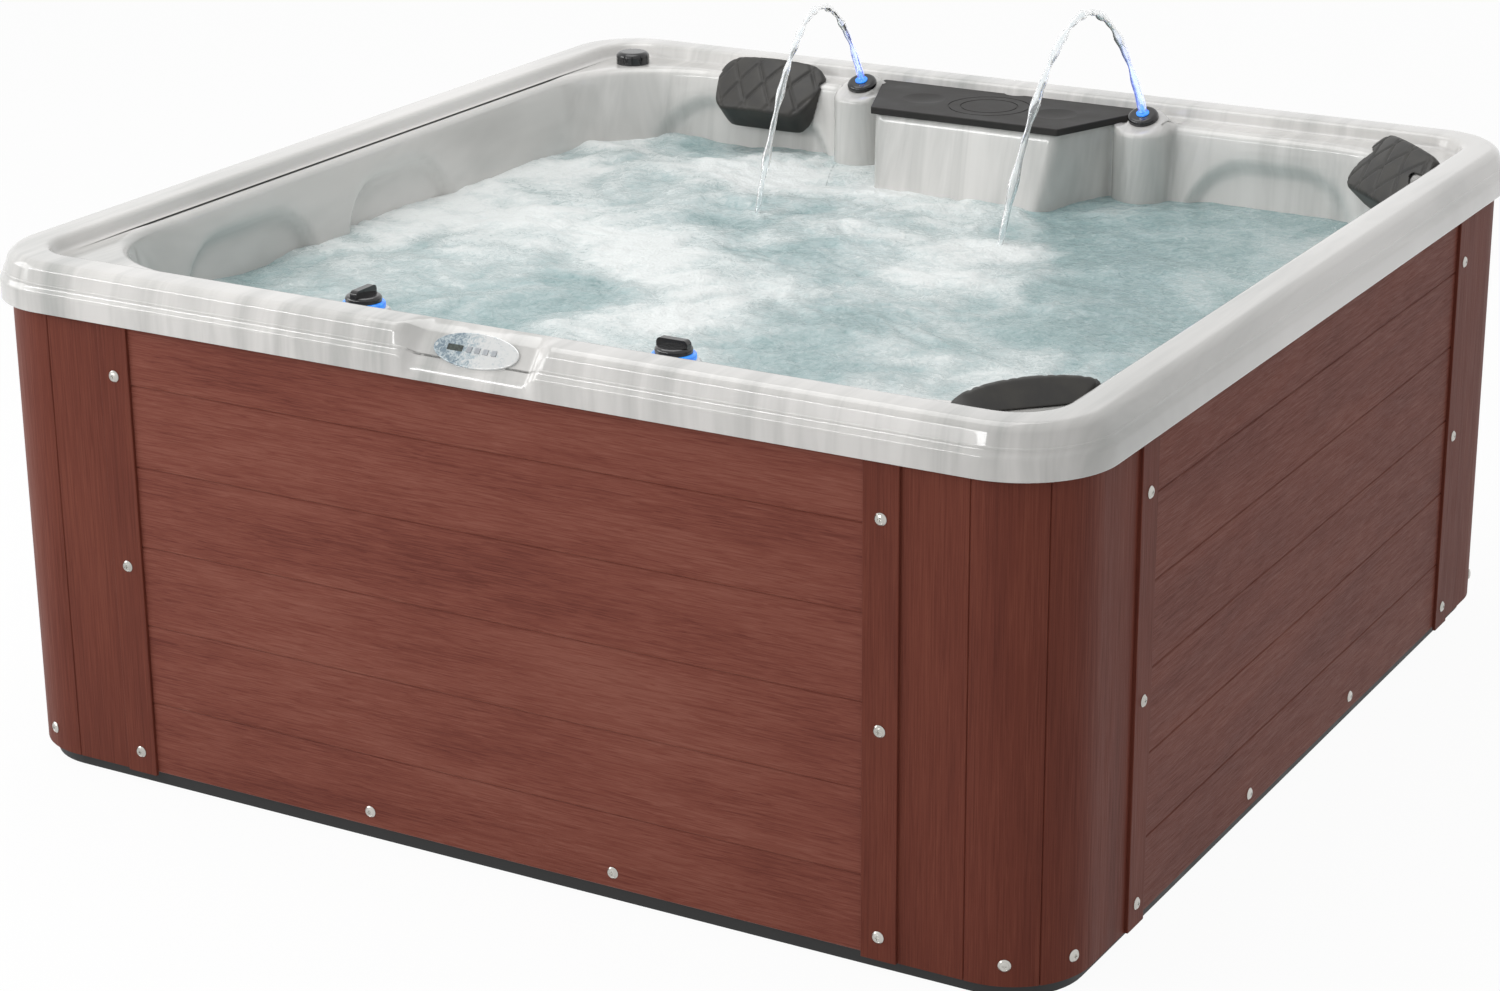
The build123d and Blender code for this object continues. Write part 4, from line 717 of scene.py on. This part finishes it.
# %% Water surface
water_level = 0.775
walls = well_ring(water_level)
walls = walls + 0.004 * outward(walls)
plain = ring(0.660, -0.630, 0.600, 0.180, water_level)
middle = plain.mean(axis=0)
water_rows = [walls * (1 - share) + plain * share for share in np.linspace(0, 1, 36)[:-1]]
water_rows += [middle + (plain - middle) * share for share in np.linspace(1, 0, 90)]
water_grid = np.stack(water_rows)
x, y = water_grid[..., 0], water_grid[..., 1]
warp_x = x + 0.05 * soft_noise(x, y, 0.16, 3)
warp_y = y + 0.05 * soft_noise(x, y, 0.16, 4)
calm = 1 / (1 + np.exp(-((x - 0.42) * 7 + (y - 0.45) * 4)))
swell = 0.007 * soft_noise(warp_x, warp_y, 0.15, 5) + 0.0045 * soft_noise(warp_x, warp_y, 0.07, 6)
ripple = 0.0026 * soft_noise(warp_x, warp_y, 0.032, 7) + 0.0014 * soft_noise(warp_x, warp_y, 0.016, 8)
height = (swell + ripple) * (1 - 0.7 * calm) + 0.0012 * soft_noise(x, y, 0.03, 9)
patch = 0.5 * soft_noise(warp_x, warp_y, 0.30, 10) + 0.3 * soft_noise(warp_x, warp_y, 0.12, 11)
patch = patch + 0.2 * soft_noise(warp_x, warp_y, 0.05, 12)
froth = np.clip(0.45 + 0.9 * patch + 22 * height - 0.55 * calm, 0, 1)
water = grid_mesh("bath_water", np.stack([x, y, water_level + height], axis=-1)[::-1], wrap=True)
attribute = water.data.attributes.new("froth", "FLOAT", "POINT")
attribute.data.foreach_set("value", froth[::-1].reshape(-1).astype(np.float32))
print("water points", x.size, "height", round(float(height.min()), 4), round(float(height.max()), 4))

# %% Aerated water
milky, tree, shader, place = start("aerated_water", IOR=1.33, Specular_IOR_Level=0.5)
share = add(tree, "ShaderNodeAttribute", {"attribute_name": "froth"}).outputs["Fac"]
lace = noise(tree, place, (22, 22, 22), 5, 0.65, 1.4)
bubbles = add(tree, "ShaderNodeTexVoronoi", inputs={"Vector": place, "Scale": 1000 / 7}).outputs[0]
mixing = {"operation": "MULTIPLY_ADD"}
broken = add(tree, "ShaderNodeMath", mixing, {0: lace, 1: 0.9, 2: share}).outputs[0]
whiten = add(tree, "ShaderNodeMapRange", inputs={0: broken, 1: 0.1, 2: 1.5, 3: 0.0, 4: 1.0}).outputs[0]
stops = [(0.12, "#809c9d"), (0.36, "#a6babb"), (0.58, "#c4cfcf"), (0.86, "#e6eae9")]
tint = add(tree, "ShaderNodeValToRGB", inputs={0: whiten}, stops=stops).outputs[0]
tree.links.new(tint, shader.inputs["Base Color"])
gloss = add(tree, "ShaderNodeMapRange", inputs={0: whiten, 1: 0.35, 2: 0.8, 3: 0.06, 4: 0.4}).outputs[0]
tree.links.new(gloss, shader.inputs["Roughness"])
surface = add(tree, "ShaderNodeMath", mixing, {0: bubbles, 1: 0.3, 2: lace}).outputs[0]
bump(tree, shader, surface, 6.0, 0.5)
water.data.materials.append(milky)
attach(water, "tub")
print("water dressed")

# %% [markdown]
# ## Pillows
# A moulded pillow is crowned, with soft edges, and crossed channels that divide
# it into diamonds. The CAD form already fits the tub behind, so a copy of it is
# remeshed finely, and its front is pressed in along the channels by a formula.

# %% Pillow helpers
pillow_level = 0.896
diagonal = math.sqrt(0.5)
pillow_places = {
    "back_left": ((-0.555, 0.901, pillow_level), (0, 1)),
    "back_right": ((0.8775, 0.8275, pillow_level), (diagonal, diagonal)),
    "front_right": ((0.8775, -0.8305, pillow_level), (diagonal, -diagonal)),
}


def fine_copy(node, name, voxel):
    """The CAD solid as one even quad skin: merged, remeshed and smoothed."""
    piece = bpy.data.objects.new(name, frame["nodes"][node].data.copy())
    bpy.context.scene.collection.objects.link(piece)
    piece.data.materials.clear()
    bpy.context.view_layer.objects.active = piece
    weld = piece.modifiers.new("weld", "WELD")
    weld.merge_threshold = 0.00005
    remesh = piece.modifiers.new("remesh", "REMESH")
    remesh.mode = "VOXEL"
    remesh.voxel_size = voxel
    smooth = piece.modifiers.new("smooth", "SMOOTH")
    smooth.iterations = 6
    baked = bpy.data.meshes.new_from_object(piece.evaluated_get(bpy.context.evaluated_depsgraph_get()))
    piece.modifiers.clear()
    piece.data = baked
    piece.data.name = name
    piece.data.shade_smooth()
    return piece


def points_of(piece):
    """All the points of a mesh as rows of x, y, z."""
    flat = np.empty(len(piece.data.vertices) * 3, np.float32)
    piece.data.vertices.foreach_get("co", flat)
    return flat.reshape(-1, 3)


def press_channels(piece, origin, outward):
    """In the pillow's own axes, pushes the face in along two families of slanting lines.

    Each channel is exp(-(distance / 3.5 mm)^2), and the lines lie 62 mm apart at 58 degrees.
    """
    out_x, out_y = outward
    side = np.array([out_y, -out_x, 0])
    normal = np.array([-out_x * diagonal, -out_y * diagonal, diagonal])
    rise = np.cross(normal, side)
    points = points_of(piece)
    local = (points - np.array(origin)) @ np.stack([side, rise, normal], axis=-1)
    a, b, c = local.T
    edge = np.minimum(0.128 - abs(a) - 0.1 * (0.068 - b), 0.068 - abs(b))
    inside = np.clip(edge / 0.022, 0, 1) ** 0.7 * np.clip(c / 0.012, 0, 1)
    press = np.zeros_like(a)
    for lean in (-1, 1):
        angle = math.radians(58 * lean)
        across = (-np.sin(angle) * a + np.cos(angle) * b) / math.sin(math.radians(58))
        near = (across + 0.031) % 0.062 - 0.031
        press = np.maximum(press, np.exp(-((near / 0.0035) ** 2)))
    lift = inside * (0.0012 - 0.0042 * press)
    moved = points + lift[:, None] * normal
    piece.data.vertices.foreach_set("co", moved.astype(np.float32).reshape(-1))
    piece.data.update()


# %% Make the pillows
for place_name, (origin, outward) in pillow_places.items():
    pillow = fine_copy(f"pillow_{place_name}", f"pad_{place_name}", 0.0028)
    press_channels(pillow, origin, outward)
    pillow.data.materials.append(foam)
    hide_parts(f"pillow_{place_name}")
    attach(pillow, f"{place_name}_pillow")
    print(pillow.name, len(pillow.data.vertices), "points")

# %% [markdown]
# ## Fountain arcs
# Each deck fountain throws a thin arc of water into the tub. It isn't part of the
# tub, so it is scenery: a clear tube along a parabola, whose width wavers along it.


# %% Fountain arcs
def arc(name, base, top, landing, radius):
    """A parabola through three points, as a tube whose width wavers along its length.

    Height at share t of the way: base + drop * t + curve * t * (1 - t).
    """
    base, top, landing = (np.array(point) for point in (base, top, landing))
    reach = landing - base
    run = np.linalg.norm(reach[:2])
    top_share = np.linalg.norm((top - base)[:2]) / run
    t = np.linspace(0, 1, 90)
    rise = top[2] - base[2]
    drop = reach[2]
    curve = (rise - drop * top_share) / (top_share * (1 - top_share))
    height = base[2] + drop * t + curve * t * (1 - t)
    line = np.stack([base[0] + reach[0] * t, base[1] + reach[1] * t, height], axis=-1)
    along = np.gradient(line, axis=0)
    along = along / np.linalg.norm(along, axis=1)[:, None]
    flat_side = np.cross(along, (0, 0, 1.0))
    flat_side = flat_side / np.linalg.norm(flat_side, axis=1)[:, None]
    upward = np.cross(flat_side, along)
    angle = np.linspace(0, 2 * math.pi, 14, endpoint=False)
    width = radius * (1 + 0.25 * np.sin(t * 43) + 0.15 * np.sin(t * 97 + 1))
    sideways = np.cos(angle)[None, :, None] * flat_side[:, None]
    hoop = sideways + np.sin(angle)[None, :, None] * upward[:, None]
    return grid_mesh(name, line[:, None] + hoop * width[:, None, None], wrap=True)


clear, tree, shader, place = start(
    "clear_water_painted_glow", Roughness=0.02, IOR=1.33, Transmission_Weight=0.85, Specular_IOR_Level=0.6
)
strands = noise(tree, place, (6, 6, 40), 2)
stops = [(0.3, "#e9f1f4"), (0.7, "#ffffff")]
tint = add(tree, "ShaderNodeValToRGB", inputs={0: strands}, stops=stops).outputs[0]
tree.links.new(tint, shader.inputs["Base Color"])
bump(tree, shader, strands, 1.5, 0.6)
# Painted glow: the water itself emits blue light near the nozzles, standing in for the light of the
# fountain lamps, strongest at y = 0.885 and gone by y = 0.79.
depth = add(tree, "ShaderNodeSeparateXYZ", inputs={0: place}).outputs[1]
near_nozzle = {0: depth, 1: 0.79, 2: 0.885, 3: 0.0, 4: 0.8}
painted_lamp_glow = add(tree, "ShaderNodeMapRange", inputs=near_nozzle).outputs[0]
shader.inputs["Emission Color"].default_value = linear("#6484ff")
tree.links.new(painted_lamp_glow, shader.inputs["Emission Strength"])
arcs = [
    arc("arc_left", (-0.322, 0.883, 0.955), (-0.32, 0.707, 1.138), (-0.30, 0.399, 0.775), 0.0065),
    arc("arc_right", (0.322, 0.883, 0.955), (0.32, 0.595, 1.148), (0.233, 0.414, 0.775), 0.0075),
]
for piece in arcs:
    piece.data.materials.append(clear)
print("arcs", [a.name for a in arcs])

# %% [markdown]
# ## Floor and light
# A tub is shown on white. The floor shows the camera mostly its own white and
# keeps a soft shadow, and wide soft lamps light the tub evenly, with one long
# strip in front whose reflection draws the bright lines along the lip.


# %% Which rays see pure white
def white_rays(tree):
    """1 for a ray from the camera, a mirror or clear water, and 0 for soft light."""
    rays = add(tree, "ShaderNodeLightPath").outputs
    greater = {"operation": "MAXIMUM"}
    seen = add(tree, "ShaderNodeMath", greater, {0: rays[0], 1: rays["Is Glossy Ray"]}).outputs[0]
    clear_too = {0: seen, 1: rays["Is Transmission Ray"]}
    return add(tree, "ShaderNodeMath", greater, clear_too).outputs[0]


print("white for the camera, softer for the tub")

# %% Floor
floor = grid_mesh("floor", np.array([[[-20, -20, 0], [20, -20, 0]], [[-20, 20, 0], [20, 20, 0]]], float))
paper, tree, shader, place = start("white_floor", Roughness=0.9, Specular_IOR_Level=0.0)
shader.inputs["Base Color"].default_value = linear("#f4f4f4")
glow = add(tree, "ShaderNodeEmission", inputs={0: (1, 1, 1, 1), 1: 1.0})
part = add(tree, "ShaderNodeMath", {"operation": "MULTIPLY"}, {0: white_rays(tree), 1: 0.95})
blend = {0: part.outputs[0], 1: shader.outputs[0], 2: glow.outputs[0]}
mixed = add(tree, "ShaderNodeMixShader", inputs=blend)
output = [n for n in tree.nodes if n.type == "OUTPUT_MATERIAL"][0]
tree.links.new(mixed.outputs[0], output.inputs[0])
floor.data.materials.append(paper)
print("floor at z = 0")

# %% World and lamps
bpy.context.scene.view_settings.view_transform = "Standard"
world = bpy.data.worlds.new("studio")
bpy.context.scene.world = world
world.use_nodes = True
tree = world.node_tree
tree.nodes.clear()
strength = add(tree, "ShaderNodeMapRange", inputs={0: white_rays(tree), 3: 0.56, 4: 1.0})
sky = add(tree, "ShaderNodeBackground", inputs={0: (1, 1, 1, 1), 1: strength.outputs[0]})
add(tree, "ShaderNodeOutputWorld", inputs={0: sky.outputs[0]})


def lamp(name, place, target, size, power):
    """A rectangular soft lamp that faces its target."""
    light = bpy.data.lights.new(name, "AREA")
    light.shape = "RECTANGLE"
    light.size, light.size_y = size
    light.energy = power
    thing = bpy.data.objects.new(name, light)
    thing.location = place
    thing.rotation_euler = (Vector(target) - Vector(place)).to_track_quat("-Z", "Y").to_euler()
    bpy.context.scene.collection.objects.link(thing)


lamp("overhead", (-0.8, 0.0, 4.2), (0, 0, 0.5), (3.0, 3.0), 64)
lamp("front_strip", (-2.2, -4.2, 2.65), (0, -1, 0.6), (5.0, 0.3), 60)
lamp("left_fill", (-4.5, -2.0, 2.6), (0, 0, 0.5), (2.5, 2.0), 45)
print("lamps", len(bpy.data.lights))
